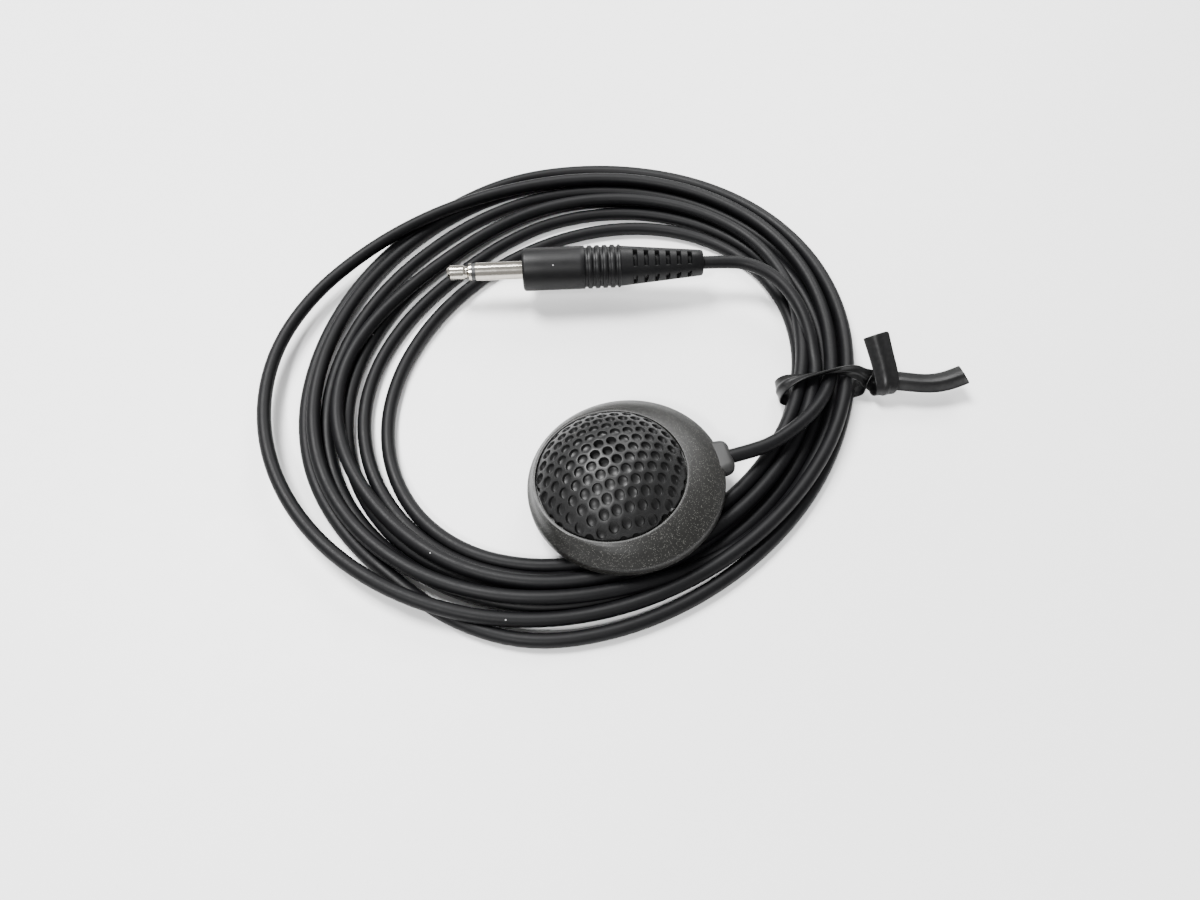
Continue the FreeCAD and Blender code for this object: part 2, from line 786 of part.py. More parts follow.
def plug_body():
    """The moulding: smooth barrel, ridged grip and slotted relief, hollow round the solder lugs."""
    outside = "size.barrel_radius"
    hug = "(size.shank_radius + size.fit_gap / 2)"
    bore = f"({CORD} + size.fit_gap)"
    cavity = "(size.flange_radius + size.fit_gap)"
    outline = [(hug, 0), (f"{outside} - size.barrel_bevel", 0), (outside, "-size.barrel_bevel")]
    for i in range(int(value("size.groove_count"))):
        start = f"-size.barrel_length - size.groove_width - {i} * size.groove_pitch"
        end = f"{start} - size.groove_width"
        floor = f"{outside} - size.groove_depth"
        outline += [(outside, start), (floor, start), (floor, end), (outside, end)]
    outline += [
        (outside, GRIP_Z),
        ("size.relief_front", GRIP_Z),
        ("size.relief_end", PLUG_END),
        (bore, PLUG_END),
        (bore, "-size.cavity_length"),
        (cavity, "-size.cavity_length"),
        (cavity, "-size.front_wall"),
        (hug, "-size.front_wall"),
    ]
    notches = feature("relief_notches", relief_slots())
    return cut("plug_body", turned("plug_moulding", outline), notches)


def plug_wire(name, side, beside, tab_foot):
    """A lead from the end of the cord's jacket to a solder lug's inner face."""
    start = value(JACKET_Z)
    bend = start + value("size.plug_wire_straight")
    arrive = start + value("size.plug_wire_shift")
    close = side * value("size.wire_close")
    end_x = side * value(f"{beside} - {BESIDE_WIRE}")
    end_z = value(f"{tab_foot} + size.wire_on_lug")
    route = [(close, 0, start), (close, 0, bend), (end_x, 0, arrive), (end_x, 0, end_z)]
    return feature(name, tube(name, route, value("size.wire_diameter")))


# ---------------------------------------------------------------- cord, coil and tie


def oval(name, side, wider, shift, base, height):
    """An upright oval prism: the coil's outer or inner edge, made wider and shifted along X."""
    half_length = f"size.{side}_half_length + {wider}"
    half_width = f"size.{side}_half_width + {wider}"
    edge = new("Part::Ellipse", f"{name}_edge", MajorRadius=half_length, MinorRadius=half_width)
    turn = FreeCAD.Rotation(Z, value(f"size.{side}_turn"))
    middle = Vector(value(f"size.{side}_x - {shift}"), value(f"size.{side}_y"), value(base))
    edge.Placement = FreeCAD.Placement(middle, turn)
    prism = doc.addObject("Part::Extrusion", name)
    prism.Base = edge
    prism.DirMode = "Custom"
    prism.Dir = Z
    prism.Solid = True
    prism.setExpression("LengthFwd", number(height))
    return prism


# the cord's bends between the microphone's boss and the coil
MIC_LEAD = [(25.0, 5.9, 7.1), (28.6, 8.5, 5.9), (31.7, 11.4, 4.4), (34.0, 14.2, 3.75)]
MIC_LEAD_END = (35.7, 17.2, 3.75)
# the same between the plug's relief and the coil
PLUG_LEAD = [
    (25.4, 46.2, 7.2),
    (29.6, 43.9, 6.7),
    (32.7, 40.0, 5.8),
    (34.7, 35.4, 4.5),
    (35.5, 30.8, 3.75),
]
PLUG_LEAD_END = (35.7, 26.4, 3.75)
FIRST_RUN = 4.2


def mic_route():
    reach = value(BOSS_REACH)
    middle = value(BOSS_Z)
    start = MIC.multVec(Vector(reach, 0, middle))
    straight = MIC.multVec(Vector(reach + FIRST_RUN, 0, middle))
    return [tuple(start), tuple(straight), *MIC_LEAD, MIC_LEAD_END]


def plug_route():
    end = value(PLUG_END)
    start = PLUG.multVec(Vector(0, 0, end))
    straight = PLUG.multVec(Vector(0, 0, end - FIRST_RUN))
    return [tuple(start), tuple(straight), *PLUG_LEAD, PLUG_LEAD_END]


def cord_lead(name, route):
    return feature(name, tube(name, route, value("size.cord_diameter")))


def under_mic():
    """The microphone's underside, grown by a gap, which the coil keeps clear of."""
    gap = "size.mic_gap"
    solid = turned("under_mic", [
        (0, f"-{gap}"),
        (f"size.foot_radius + {gap}", f"-{gap}"),
        (f"size.base_radius + {gap}", f"size.foot_thick - {gap}"),
        (f"size.rim_radius + {gap}", f"size.parting_height - {gap}"),
        (f"size.rim_radius + {gap}", "size.rim_height"),
        (0, "size.rim_height"),
    ])
    solid.Placement = MIC
    return solid


def cord_coil():
    """The outer shape of the coiled turns: two layers, with a ledge along the inside."""
    layer = "size.cord_diameter"
    low_outer = oval("low_outer", "outer", 0, 0, "0", layer)
    low_inner = oval("low_inner", "inner", 0, 0, "0", layer)
    high_outer = oval("high_outer", "outer", "-size.ledge_outer", 0, layer, layer)
    high_inner = oval("high_inner", "inner", "size.ledge_width", "size.ledge_shift", layer, layer)
    low = cut("low_layer", low_outer, low_inner)
    high = cut("high_layer", high_outer, high_inner)
    both = fuse("coil_layers", low, high)
    width = value("size.tie_width")
    across = 2 * value("size.tie_clear")
    corner = Vector(-across / 2, -width / 2, 0)
    under = feature("tie_passage", Part.makeBox(across, width, value("size.tie_thick"), corner))
    under.Placement = TIE
    room = value("size.cord_diameter") + 2 * value("size.lead_gap")
    slots = []
    for name, route in (("mic_lead_room", mic_route()), ("plug_lead_room", plug_route())):
        slots.append(feature(name, tube(name, route, room)))
    return cut("cord_coil", both, under, under_mic(), *slots)


def twist_tie():
    """A flat ribbon round the coil, twisted at the outside, with a long and a short free end."""
    width = "size.tie_width"
    thick = "size.tie_thick"
    inside = "2 * size.cord_diameter"
    outer_x = "(size.tie_clear / 2 + size.tie_thick)"
    loop_at = (f"-{outer_x}", f"-{width} / 2", 0)
    loop = block("tie_outer", f"2 * {outer_x}", width, f"{inside} + {thick}", *loop_at)
    room_at = ("-size.tie_clear / 2", f"-{width}", thick)
    room = block("tie_inner", "size.tie_clear", f"2 * {width}", f"{inside} - {thick}", *room_at)
    band = cut("tie_band", loop, room)
    knot_z = f"({inside} - size.knot_radius)"
    knot_length = "size.knot_length + size.tie_thick"
    knot = rod("tie_knot", "size.knot_radius", knot_length, "size.tie_clear / 2", 0, knot_z)
    knot.Placement.Rotation = FreeCAD.Rotation(Vector(0, 1, 0), 90)
    long_x = f"{outer_x} + size.knot_length - size.long_tail_root"
    long_at = (long_x, f"-{width} / 2", f"{knot_z} - {thick} / 2")
    long_tail = block("long_tail", "size.long_tail", width, thick, *long_at)
    short_at = (f"{outer_x} + size.short_tail_start", 0, knot_z)
    short_tail = block("short_tail", width, "size.short_tail", thick, *short_at)
    short_tail.Placement.Rotation = FreeCAD.Rotation(Vector(1, 0, 0), value("size.tail_lean"))
    return fuse("twist_tie", band, knot, long_tail, short_tail)


# ---------------------------------------------------------------- the sub-parts

piece("top_shell", top_shell(), MIC)
piece("bottom_cover", bottom_cover(), MIC)
piece("housing_screws", housing_screws(), MIC)
piece("foot_pad", foot_pad(), MIC)
piece("dome_grille", dome_grille(), EYE)
piece("grille_felt", disc("felt_disc", BOOT, BOOT_TOP, FELT_TOP), EYE)
piece("capsule_boot", capsule_boot(), EYE)
piece("capsule_can", capsule_can(), EYE)
cloth_top = f"{CAN_TOP} + size.cloth_thick"
cloth = disc("cloth", "size.boot_opening - size.cloth_margin", CAN_TOP, cloth_top)
piece("capsule_dust_cloth", cloth, EYE)
piece("capsule_diaphragm", capsule_diaphragm(), EYE)
piece("capsule_spacer", ring("spacer", "size.ring_inner", LOOSE, PLATE_TOP, FILM_Z), EYE)
piece("capsule_backplate", capsule_backplate(), EYE)
piece("capsule_holder", capsule_holder(), EYE)
contact_radius = "(size.holder_inner - size.fit_gap)"
contact = ring("contact", f"{contact_radius} - size.contact_wall", contact_radius, BOARD_TOP, PLATE_FOOT)
piece("capsule_contact_ring", contact, EYE)
piece("capsule_board", disc("board", LOOSE, BOARD_FOOT, BOARD_TOP), EYE)
piece("transistor", transistor(), EYE)
piece("cord_boss", cord_boss(), MIC)
ALONG_X = FreeCAD.Rotation(Vector(0, 1, 0), 90)
BOSS = MIC * FreeCAD.Placement(Vector(0, 0, value(BOSS_Z)), ALONG_X)
tail = disc("tail", f"{CORD} - size.fit_gap / 2", "size.tail_inside", BOSS_REACH)
piece("cord_tail", tail, BOSS)
piece("core_wire", capsule_wire("core_wire", 1), MIC)
piece("shield_wire", capsule_wire("shield_wire", -1), MIC)
piece("plug_tip", plug_tip(), PLUG)
piece("plug_insulator", plug_insulator(), PLUG)
piece("plug_sleeve", plug_sleeve(), PLUG)
washer = ring("washer", AROUND_ROD, "size.washer_radius", WASHER_Z, FLANGE_Z)
piece("plug_rear_insulator", washer, PLUG)
piece("plug_tip_lug", plug_tip_lug(), PLUG)
piece("plug_sleeve_lug", plug_sleeve_lug(), PLUG)
piece("plug_body", plug_body(), PLUG)
piece("plug_cord_tail", disc("plug_tail", CORD, PLUG_END, JACKET_Z), PLUG)
to_tip = plug_wire("plug_core_wire", 1, "size.lug_width - size.lug_thick", TIP_TAB_FOOT)
piece("plug_core_wire", to_tip, PLUG)
beside_tab = "size.flange_radius - size.lug_inset - size.lug_thick"
to_sleeve = plug_wire("plug_shield_wire", -1, beside_tab, SLEEVE_TAB_FOOT)
piece("plug_shield_wire", to_sleeve, PLUG)
piece("cord_lead_mic", cord_lead("mic_lead", mic_route()), HERE)
piece("cord_coil", cord_coil(), HERE)
piece("cord_lead_plug", cord_lead("plug_lead", plug_route()), HERE)
piece("twist_tie", twist_tie(), TIE)

doc.recompute()
for thing in doc.Objects:
    if "Invalid" in thing.State or "Error" in thing.State:
        raise ValueError(f"{thing.Name} is {thing.State}")

os.makedirs("parts", exist_ok=True)
for thing in pieces:
    shape = thing.Shape
    if shape.isNull() or not shape.isValid() or not shape.Solids:
        raise ValueError(f"{thing.Label} has no good solid")
    shape.exportStep(f"parts/{thing.Label}.step")
    box = shape.BoundBox
    size = f"{box.XLength:.2f} x {box.YLength:.2f} x {box.ZLength:.2f}"
    print(f"{thing.Label}: {len(shape.Solids)} solid, {shape.Volume:.2f} mm3, {size} mm")
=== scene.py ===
"""A small round table-top microphone with its coiled cord, plug and twist tie, round the CAD frame."""

import math

import bmesh
import bpy
from bpy.props import FloatProperty, FloatVectorProperty, IntProperty, PointerProperty
from mathutils import Matrix, Vector


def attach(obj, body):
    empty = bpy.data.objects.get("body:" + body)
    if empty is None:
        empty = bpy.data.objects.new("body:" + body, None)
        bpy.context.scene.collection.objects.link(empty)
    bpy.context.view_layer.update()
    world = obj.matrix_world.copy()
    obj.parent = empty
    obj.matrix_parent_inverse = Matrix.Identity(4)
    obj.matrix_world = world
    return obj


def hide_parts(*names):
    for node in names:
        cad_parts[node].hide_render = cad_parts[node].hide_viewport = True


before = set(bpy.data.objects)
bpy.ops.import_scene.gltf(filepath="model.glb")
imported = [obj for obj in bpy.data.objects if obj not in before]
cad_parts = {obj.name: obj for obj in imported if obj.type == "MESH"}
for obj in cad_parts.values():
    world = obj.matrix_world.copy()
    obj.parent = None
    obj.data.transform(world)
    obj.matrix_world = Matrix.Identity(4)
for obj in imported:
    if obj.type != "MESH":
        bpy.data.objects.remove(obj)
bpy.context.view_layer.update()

bl_info = {
    "name": "Table microphone",
    "version": (1, 0, 0),
    "blender": (4, 5, 0),
    "location": "3D View > Sidebar > Table microphone",
    "description": "Builds a small round table-top microphone with its coiled cord and plug",
    "category": "Object",
}

MM = 0.001


# ---------------------------------------------------------------- sizes and colours


def length(name, description, default):
    """A length in metres that the user may change."""
    return FloatProperty(
        name=name, description=description, default=default, subtype="DISTANCE", unit="LENGTH"
    )


def angle(name, description, degrees):
    """An angle that the user may change."""
    return FloatProperty(
        name=name, description=description, default=math.radians(degrees), subtype="ANGLE", unit="ROTATION"
    )


def colour(name, description, default):
    """A colour that the user may change."""
    return FloatVectorProperty(
        name=name, description=description, default=default, size=3, min=0, max=1, subtype="COLOR"
    )


class HousingSizes(bpy.types.PropertyGroup):
    """How the housing lies, and the sizes of its shells."""

    place_x: length("Place along X", "Where the foot's middle is along X", -0.57 * MM)
    place_y: length("Place along Y", "Where the foot's middle is along Y", -0.3 * MM)
    lift: length("Lift", "Height of the foot's middle over the surface", 1.0453 * MM)
    tilt: angle("Tilt", "How far the housing leans", 6)
    tilt_azimuth: angle("Tilt's side", "The side that the housing leans down to", 144)
    boss_azimuth: angle("Boss's side", "The side that the cord leaves at", 11)
    rim_radius: length("Rim radius", "Outer radius of the rim", 16.75 * MM)
    rim_foot: length("Rim foot", "Height of the rim's lower edge over the foot", 3.8 * MM)
    rim_top: length("Rim top", "Height of the rim's upper edge over the foot", 6.0 * MM)
    crown: length("Crown", "Height of the eye's lip over the foot", 9.0 * MM)
    eye_radius: length("Eye radius", "Radius of the opening that holds the grille", 12.6 * MM)
    eye_offset: length("Eye offset", "How far the eye is off the middle", 2.3 * MM)


class GrilleSizes(bpy.types.PropertyGroup):
    """Sizes of the domed grille and its holes."""

    radius: length("Grille radius", "Radius of the dome's edge", 12.38 * MM)
    rise: length("Rise", "Height of the dome over the eye's lip", 6.9 * MM)
    hole_radius: length("Hole radius", "Radius of one hole", 0.83 * MM)
    hole_pitch: length("Hole pitch", "Distance from one hole to the next", 2.1 * MM)
    dimple_depth: length("Dimple depth", "Depth of a blind hole", 0.65 * MM)
    open_depth: length("Open depth", "Depth of a hole that goes through", 1.15 * MM)
    rings: IntProperty(name="Rings", description="Rings of holes round the middle one", default=7, min=1)


class PlugSizes(bpy.types.PropertyGroup):
    """Where the plug lies, and the sizes of its moulding."""

    front_x: length("Front along X", "Where the moulding's front face is along X", -17.8 * MM)
    place_y: length("Place along Y", "Where the plug's axis is along Y", 46.6 * MM)
    place_z: length("Height", "Height of the plug's axis", 7.4 * MM)
    roll: angle("Roll", "How far the plug is turned about its axis", -15)
    barrel_radius: length("Barrel radius", "Radius of the smooth barrel", 4.1 * MM)
    barrel_length: length("Barrel length", "Length of the smooth barrel", 11.3 * MM)
    grip_length: length("Grip length", "Length of the ridged grip", 7.5 * MM)
    relief_length: length("Relief length", "Length of the slotted strain relief", 15.9 * MM)


class CordSizes(bpy.types.PropertyGroup):
    """Sizes of the cord."""

    diameter: length("Cord diameter", "Outer diameter of the jacket", 2.5 * MM)
    real_length: length("Cord length", "The cord's real length from boss to plug", 2.33)


class TieSizes(bpy.types.PropertyGroup):
    """Sizes of the twist tie's ribbon."""

    width: length("Ribbon width", "Width of the flat ribbon", 4.0 * MM)
    thickness: length("Ribbon thickness", "Thickness of the flat ribbon", 0.36 * MM)
    wire_radius: length("Wire radius", "Half the height of the ridge over the wire", 0.42 * MM)


class Colours(bpy.types.PropertyGroup):
    """Main colours."""

    housing: colour("Housing", "Colour of the textured housing", (0.0058, 0.0057, 0.0052))
    grille: colour("Grille", "Colour of the grille", (0.0065, 0.0065, 0.0066))
    boss: colour("Boss", "Colour of the cord's boss", (0.014, 0.014, 0.0138))
    jacket: colour("Jacket", "Colour of the cord's jacket", (0.0016, 0.0016, 0.0019))
    moulding: colour("Moulding", "Colour of the plug's moulding", (0.0016, 0.0016, 0.0018))
    metal: colour("Metal", "Colour of the plug's contacts", (0.50, 0.47, 0.42))
    ribbon: colour("Ribbon", "Colour of the twist tie", (0.002, 0.002, 0.0021))
    floor: colour("Floor", "Colour of the surface that it all lies on", (0.80, 0.80, 0.80))


GROUPS = {
    "table_mic_housing": HousingSizes,
    "table_mic_grille": GrilleSizes,
    "table_mic_plug": PlugSizes,
    "table_mic_cord": CordSizes,
    "table_mic_tie": TieSizes,
    "table_mic_colours": Colours,
}


# ---------------------------------------------------------------- places


def housing_place(context):
    """The matrix from the housing's own axes to the frame."""
    s = context.scene.table_mic_housing
    lean = Vector((-math.sin(s.tilt_azimuth), math.cos(s.tilt_azimuth), 0))
    turn = Matrix.Rotation(s.tilt, 4, lean) @ Matrix.Rotation(s.boss_azimuth, 4, "Z")
    return Matrix.Translation((s.place_x, s.place_y, s.lift)) @ turn


def eye_place(context):
    """The same for the grille, whose middle is off the housing's."""
    offset = context.scene.table_mic_housing.eye_offset
    return housing_place(context) @ Matrix.Translation((-offset, 0, 0))


def plug_place(context):
    """The matrix from the plug's own axes, whose +Z points along the pin, to the frame."""
    s = context.scene.table_mic_plug
    turn = Matrix.Rotation(math.radians(-90), 4, "Y") @ Matrix.Rotation(s.roll, 4, "Z")
    return Matrix.Translation((s.front_x, s.place_y, s.place_z)) @ turn


# ---------------------------------------------------------------- materials


# how many grains wide a broad patch of the finish is
PATCH = 12
PATCH_DETAIL = 5
GRAIN_DETAIL = 3
# the parts of the noise's range that the two tones and the roughness spread over
TONE_RANGE = (0.36, 0.64)
ROUGH_RANGE = (0.3, 0.7)

FLECKS = {"tone": (0.12, 0.12, 0.11), "cells": 9500, "size": 0.4, "share": 0.12}
LINT = {"tone": (0.3, 0.3, 0.3), "cells": 230, "size": 0.03, "share": 0.3}


def link(tree, source, socket):
    """Joins an output to an input."""
    tree.links.new(source, socket)


def noise(tree, vector, scale, detail):
    """A noise texture's strength at each place."""
    texture = tree.nodes.new("ShaderNodeTexNoise")
    texture.inputs["Scale"].default_value = scale
    texture.inputs["Detail"].default_value = detail
    link(tree, vector, texture.inputs["Vector"])
    return texture.outputs["Fac"]


def finish(name, base, other, grain, roughness, rough_swing=0.08, bump=0.2, depth=0.02 * MM,
           metallic=0.0, specular=0.5, stretch=(1, 1, 1), flecks=None, dust=None):
    """A material whose colour, roughness and surface follow fine noise on the object's own coordinates."""
    material = bpy.data.materials.new(name)
    material.use_nodes = True
    tree = material.node_tree
    shader = tree.nodes["Principled BSDF"]
    shader.inputs["Metallic"].default_value = metallic
    shader.inputs["Specular IOR Level"].default_value = specular
    place = tree.nodes.new("ShaderNodeTexCoord")
    mapping = tree.nodes.new("ShaderNodeMapping")
    mapping.inputs["Scale"].default_value = stretch
    link(tree, place.outputs["Object"], mapping.inputs["Vector"])
    broad = noise(tree, mapping.outputs["Vector"], grain / PATCH, PATCH_DETAIL)
    fine = noise(tree, mapping.outputs["Vector"], grain, GRAIN_DETAIL)
    both = tree.nodes.new("ShaderNodeMix")
    both.data_type = "FLOAT"
    both.inputs["Factor"].default_value = 0.5
    link(tree, broad, both.inputs["A"])
    link(tree, fine, both.inputs["B"])
    ramp = tree.nodes.new("ShaderNodeValToRGB")
    for stop, at, tone in zip(ramp.color_ramp.elements, TONE_RANGE, (base, other)):
        stop.position = at
        stop.color = (*tone, 1)
    link(tree, both.outputs["Result"], ramp.inputs["Fac"])
    tint = ramp.outputs["Color"]
    rough = tree.nodes.new("ShaderNodeMapRange")
    rough.inputs["From Min"].default_value = ROUGH_RANGE[0]
    rough.inputs["From Max"].default_value = ROUGH_RANGE[1]
    rough.inputs["To Min"].default_value = roughness - rough_swing
    rough.inputs["To Max"].default_value = roughness + rough_swing
    link(tree, both.outputs["Result"], rough.inputs["Value"])
    for specks in (flecks, dust):
        if specks:
            tint = add_specks(tree, place.outputs["Object"], tint, **specks)
    link(tree, tint, shader.inputs["Base Color"])
    link(tree, rough.outputs["Result"], shader.inputs["Roughness"])
    relief = tree.nodes.new("ShaderNodeBump")
    relief.inputs["Strength"].default_value = bump
    relief.inputs["Distance"].default_value = depth
    link(tree, fine, relief.inputs["Height"])
    link(tree, relief.outputs["Normal"], shader.inputs["Normal"])
    return material


def below(tree, value, limit):
    """One where the value is under the limit, and zero elsewhere."""
    test = tree.nodes.new("ShaderNodeMath")
    test.operation = "LESS_THAN"
    test.inputs[1].default_value = limit
    link(tree, value, test.inputs[0])
    return test.outputs["Value"]


def add_specks(tree, place, tint, tone, cells, size, share):
    """Small round specks in a share of the cells of a grid of random cells, laid over a colour."""
    grid = tree.nodes.new("ShaderNodeTexVoronoi")
    grid.inputs["Scale"].default_value = cells
    link(tree, place, grid.inputs["Vector"])
    near = below(tree, grid.outputs["Distance"], size)
    parts = tree.nodes.new("ShaderNodeSeparateColor")
    link(tree, grid.outputs["Color"], parts.inputs["Color"])
    chosen = below(tree, parts.outputs["Red"], share)
    mask = tree.nodes.new("ShaderNodeMath")
    mask.operation = "MULTIPLY"
    link(tree, near, mask.inputs[0])
    link(tree, chosen, mask.inputs[1])
    over = tree.nodes.new("ShaderNodeMix")
    over.data_type = "RGBA"
    for socket in over.inputs:
        if socket.name == "B" and socket.type == "RGBA":
            socket.default_value = (*tone, 1)
        if socket.name == "A" and socket.type == "RGBA":
            link(tree, tint, socket)
    link(tree, mask.outputs["Value"], over.inputs["Factor"])
    return next(o for o in over.outputs if o.type == "RGBA")


def toned(tone, factor):
    """A tone that is this many times as bright."""
    return tuple(min(1.0, c * factor) for c in tone)


FINISHES = {}


def make_finishes(context):
    """Every finish of the object, by its name."""
    c = context.scene.table_mic_colours
    housing, grille, boss = tuple(c.housing), tuple(c.grille), tuple(c.boss)
    jacket, moulding, metal, ribbon = tuple(c.jacket), tuple(c.moulding), tuple(c.metal), tuple(c.ribbon)
    FINISHES.update({
        "housing": finish(
            "sparkling_dark_plastic", housing, toned(housing, 1.45), grain=6500, roughness=0.44,
            rough_swing=0.06, bump=0.35, specular=0.3, flecks=FLECKS,
        ),
        "grille": finish(
            "satin_dark_plastic", grille, toned(grille, 1.4), grain=4200, roughness=0.43,
            rough_swing=0.05, bump=0.25, depth=0.01 * MM, specular=0.24,
        ),
        "boss": finish(
            "mid_grey_plastic", boss, toned(boss, 1.25), grain=3800, roughness=0.5,
            rough_swing=0.05, depth=0.01 * MM, specular=0.3,
        ),
        "jacket": finish(
            "cord_jacket", jacket, toned(jacket, 1.6), grain=2600, roughness=0.5,
            rough_swing=0.07, bump=0.25, specular=0.14, dust=LINT,
        ),
        "moulding": finish(
            "plug_moulding", moulding, toned(moulding, 1.6), grain=4200, roughness=0.44,
            rough_swing=0.07, bump=0.3, specular=0.18, dust=LINT,
        ),
        "metal": finish(
            "bright_nickel", metal, toned(metal, 0.86), grain=2400, roughness=0.16,
            rough_swing=0.05, bump=0.12, depth=0.004 * MM, metallic=1.0, stretch=(3.2, 0.2, 0.2),
        ),
        "ring": finish("black_ring", (0.01, 0.01, 0.01), (0.02, 0.02, 0.02), grain=3000, roughness=0.4),
        "ribbon": finish(
            "tie_ribbon", ribbon, toned(ribbon, 1.7), grain=1500, roughness=0.4,
            bump=0.5, depth=0.05 * MM, specular=0.25, dust=LINT,
        ),
        "foot": finish(
            "foot_rubber", (0.016, 0.016, 0.016), (0.03, 0.03, 0.03), grain=2400, roughness=0.75, bump=0.6
        ),
        "felt": finish(
            "black_felt", (0.004, 0.004, 0.004), (0.012, 0.012, 0.012), grain=5200, roughness=0.95,
            rough_swing=0.04, bump=0.9,
        ),
        "steel": finish(
            "zinc_plated_steel", (0.5, 0.5, 0.52), (0.42, 0.42, 0.44), grain=2600, roughness=0.32,
            metallic=1.0,
        ),
        "aluminium": finish(
            "drawn_aluminium", (0.75, 0.75, 0.77), (0.66, 0.66, 0.68), grain=2600, roughness=0.3,
            metallic=1.0, stretch=(1, 1, 0.1),
        ),
        "brass": finish(
            "bright_brass", (0.72, 0.56, 0.28), (0.62, 0.47, 0.22), grain=2600, roughness=0.25,
            metallic=1.0,
        ),
        "copper": finish(
            "twisted_copper", (0.72, 0.42, 0.27), (0.58, 0.32, 0.2), grain=3200, roughness=0.35,
            metallic=1.0, stretch=(1, 0.3, 1),
        ),
        "film": finish(
            "metallised_film", (0.7, 0.7, 0.72), (0.62, 0.62, 0.64), grain=1800, roughness=0.2,
            metallic=0.8,
        ),
        "natural": finish(
            "natural_plastic", (0.72, 0.70, 0.64), (0.64, 0.62, 0.57), grain=2200, roughness=0.5
        ),
        "board": finish("solder_resist", (0.03, 0.17, 0.08), (0.05, 0.24, 0.11), grain=2200, roughness=0.35),
        "insulation": finish(
            "red_insulation", (0.42, 0.03, 0.025), (0.5, 0.05, 0.04), grain=2400, roughness=0.35
        ),
    })


NODE_FINISHES = {
    "bottom_cover": "housing",
    "housing_screws": "steel",
    "foot_pad": "foot",
    "grille_felt": "felt",
    "capsule_boot": "foot",
    "capsule_can": "aluminium",
    "capsule_dust_cloth": "felt",
    "capsule_diaphragm": "film",
    "capsule_spacer": "natural",
    "capsule_backplate": "brass",
    "capsule_holder": "natural",
    "capsule_contact_ring": "brass",
    "capsule_board": "board",
    "transistor": "moulding",
    "cord_tail": "jacket",
    "core_wire": "insulation",
    "shield_wire": "copper",
    "plug_tip": "metal",
    "plug_insulator": "ring",
    "plug_sleeve": "metal",
    "plug_rear_insulator": "ring",
    "plug_tip_lug": "brass",
    "plug_sleeve_lug": "brass",
    "plug_cord_tail": "jacket",
    "plug_core_wire": "insulation",
    "plug_shield_wire": "copper",
}


# ---------------------------------------------------------------- mesh helpers


# corners nearer than this are made one
DOUBLES = 0.002 * MM


def to_object(bm, name, finishes, sharp, place=None):
    """Puts a bmesh in the frame as a piece with smooth faces and corners sharp from an angle in degrees."""
    bmesh.ops.remove_doubles(bm, verts=bm.verts, dist=DOUBLES)
    bmesh.ops.recalc_face_normals(bm, faces=bm.faces)
    if place is not None:
        bmesh.ops.transform(bm, matrix=place, verts=bm.verts)
    mesh = bpy.data.meshes.new(name)
    bm.to_mesh(mesh)
    bm.free()
    mesh.shade_smooth()
    mesh.set_sharp_from_angle(angle=math.radians(sharp))
    for key in finishes:
        mesh.materials.append(FINISHES[key])
    piece = bpy.data.objects.new(name, mesh)
    bpy.context.scene.collection.objects.link(piece)
    return piece


def ring_stack(bm, rings, segments):
    """A skin through circles, each (radius, centre x, height), made by extruding one circle's edges."""
    radius, x, z = rings[0]
    made = bmesh.ops.create_circle(bm, segments=segments, radius=radius)
    verts = made["verts"]
    bmesh.ops.translate(bm, verts=verts, vec=(x, 0, z))
    edges = list({e for v in verts for e in v.link_edges})
    for next_radius, next_x, next_z in rings[1:]:
        made = bmesh.ops.extrude_edge_only(bm, edges=edges)["geom"]
        verts = [g for g in made if isinstance(g, bmesh.types.BMVert)]
        edges = [g for g in made if isinstance(g, bmesh.types.BMEdge)]
        bmesh.ops.translate(bm, verts=verts, vec=(-x, 0, -z))
        bmesh.ops.scale(bm, verts=verts, vec=(next_radius / radius, next_radius / radius, 1))
        bmesh.ops.translate(bm, verts=verts, vec=(next_x, 0, next_z))
        radius, x, z = next_radius, next_x, next_z
    return edges


def spun(bm, outline, steps):
    """A body turned about +Z from an outline of (radius, height) corners."""
    verts = [bm.verts.new((r, 0, z)) for r, z in outline]
    edges = [bm.edges.new(pair) for pair in zip(verts, verts[1:])]
    bmesh.ops.spin(
        bm, geom=verts + edges, cent=(0, 0, 0), axis=(0, 0, 1), angle=math.tau, steps=steps, use_merge=True
    )


# ---------------------------------------------------------------- cord

# the cord's lengths are in millimetres, and its angles in degrees
# where it leaves the boss in the housing's own axes, and how far it runs straight from there
EXIT = (18.6, 0, 4.7)
FIRST_RUN = 4.2
# the two leads in the frame's axes, each from its own end towards the coil
MIC_LEAD = [
    (25.0, 5.9, 7.1),
    (28.6, 8.4, 6.9),
    (31.7, 11.0, 6.5),
    (34.2, 13.8, 6.2),
    (36.4, 17.2, 5.2),
]
PLUG_LEAD = [
    (25.4, 46.2, 7.35),
    (29.6, 43.7, 7.2),
    (32.7, 39.6, 6.9),
    (34.7, 34.7, 6.2),
    (35.6, 30.2, 5.2),
    (35.7, 26.0, 4.3),
]

# the coil's inner and outer ovals: centre x, centre y, half length, half width, turn in degrees
INNER_OVAL = (-4.6, 24.0, 42.15, 34.15, 42)
OUTER_OVAL = (-11.0, 28.0, 55.95, 50.15, 28)
# where the twist tie is, how far past it the strands stay in their places, and where else they are set
TIE_ANGLE = -5
HELD = 8
STATIONS = (45, 90, 135, 180, 225, 270, 315)
POINTS_A_TURN = 24

# heights of a strand that lies on the surface, and of the two layers under the tie
FLAT = 1.25
TIE_LOW = 1.65
TIE_HIGH = 4.1

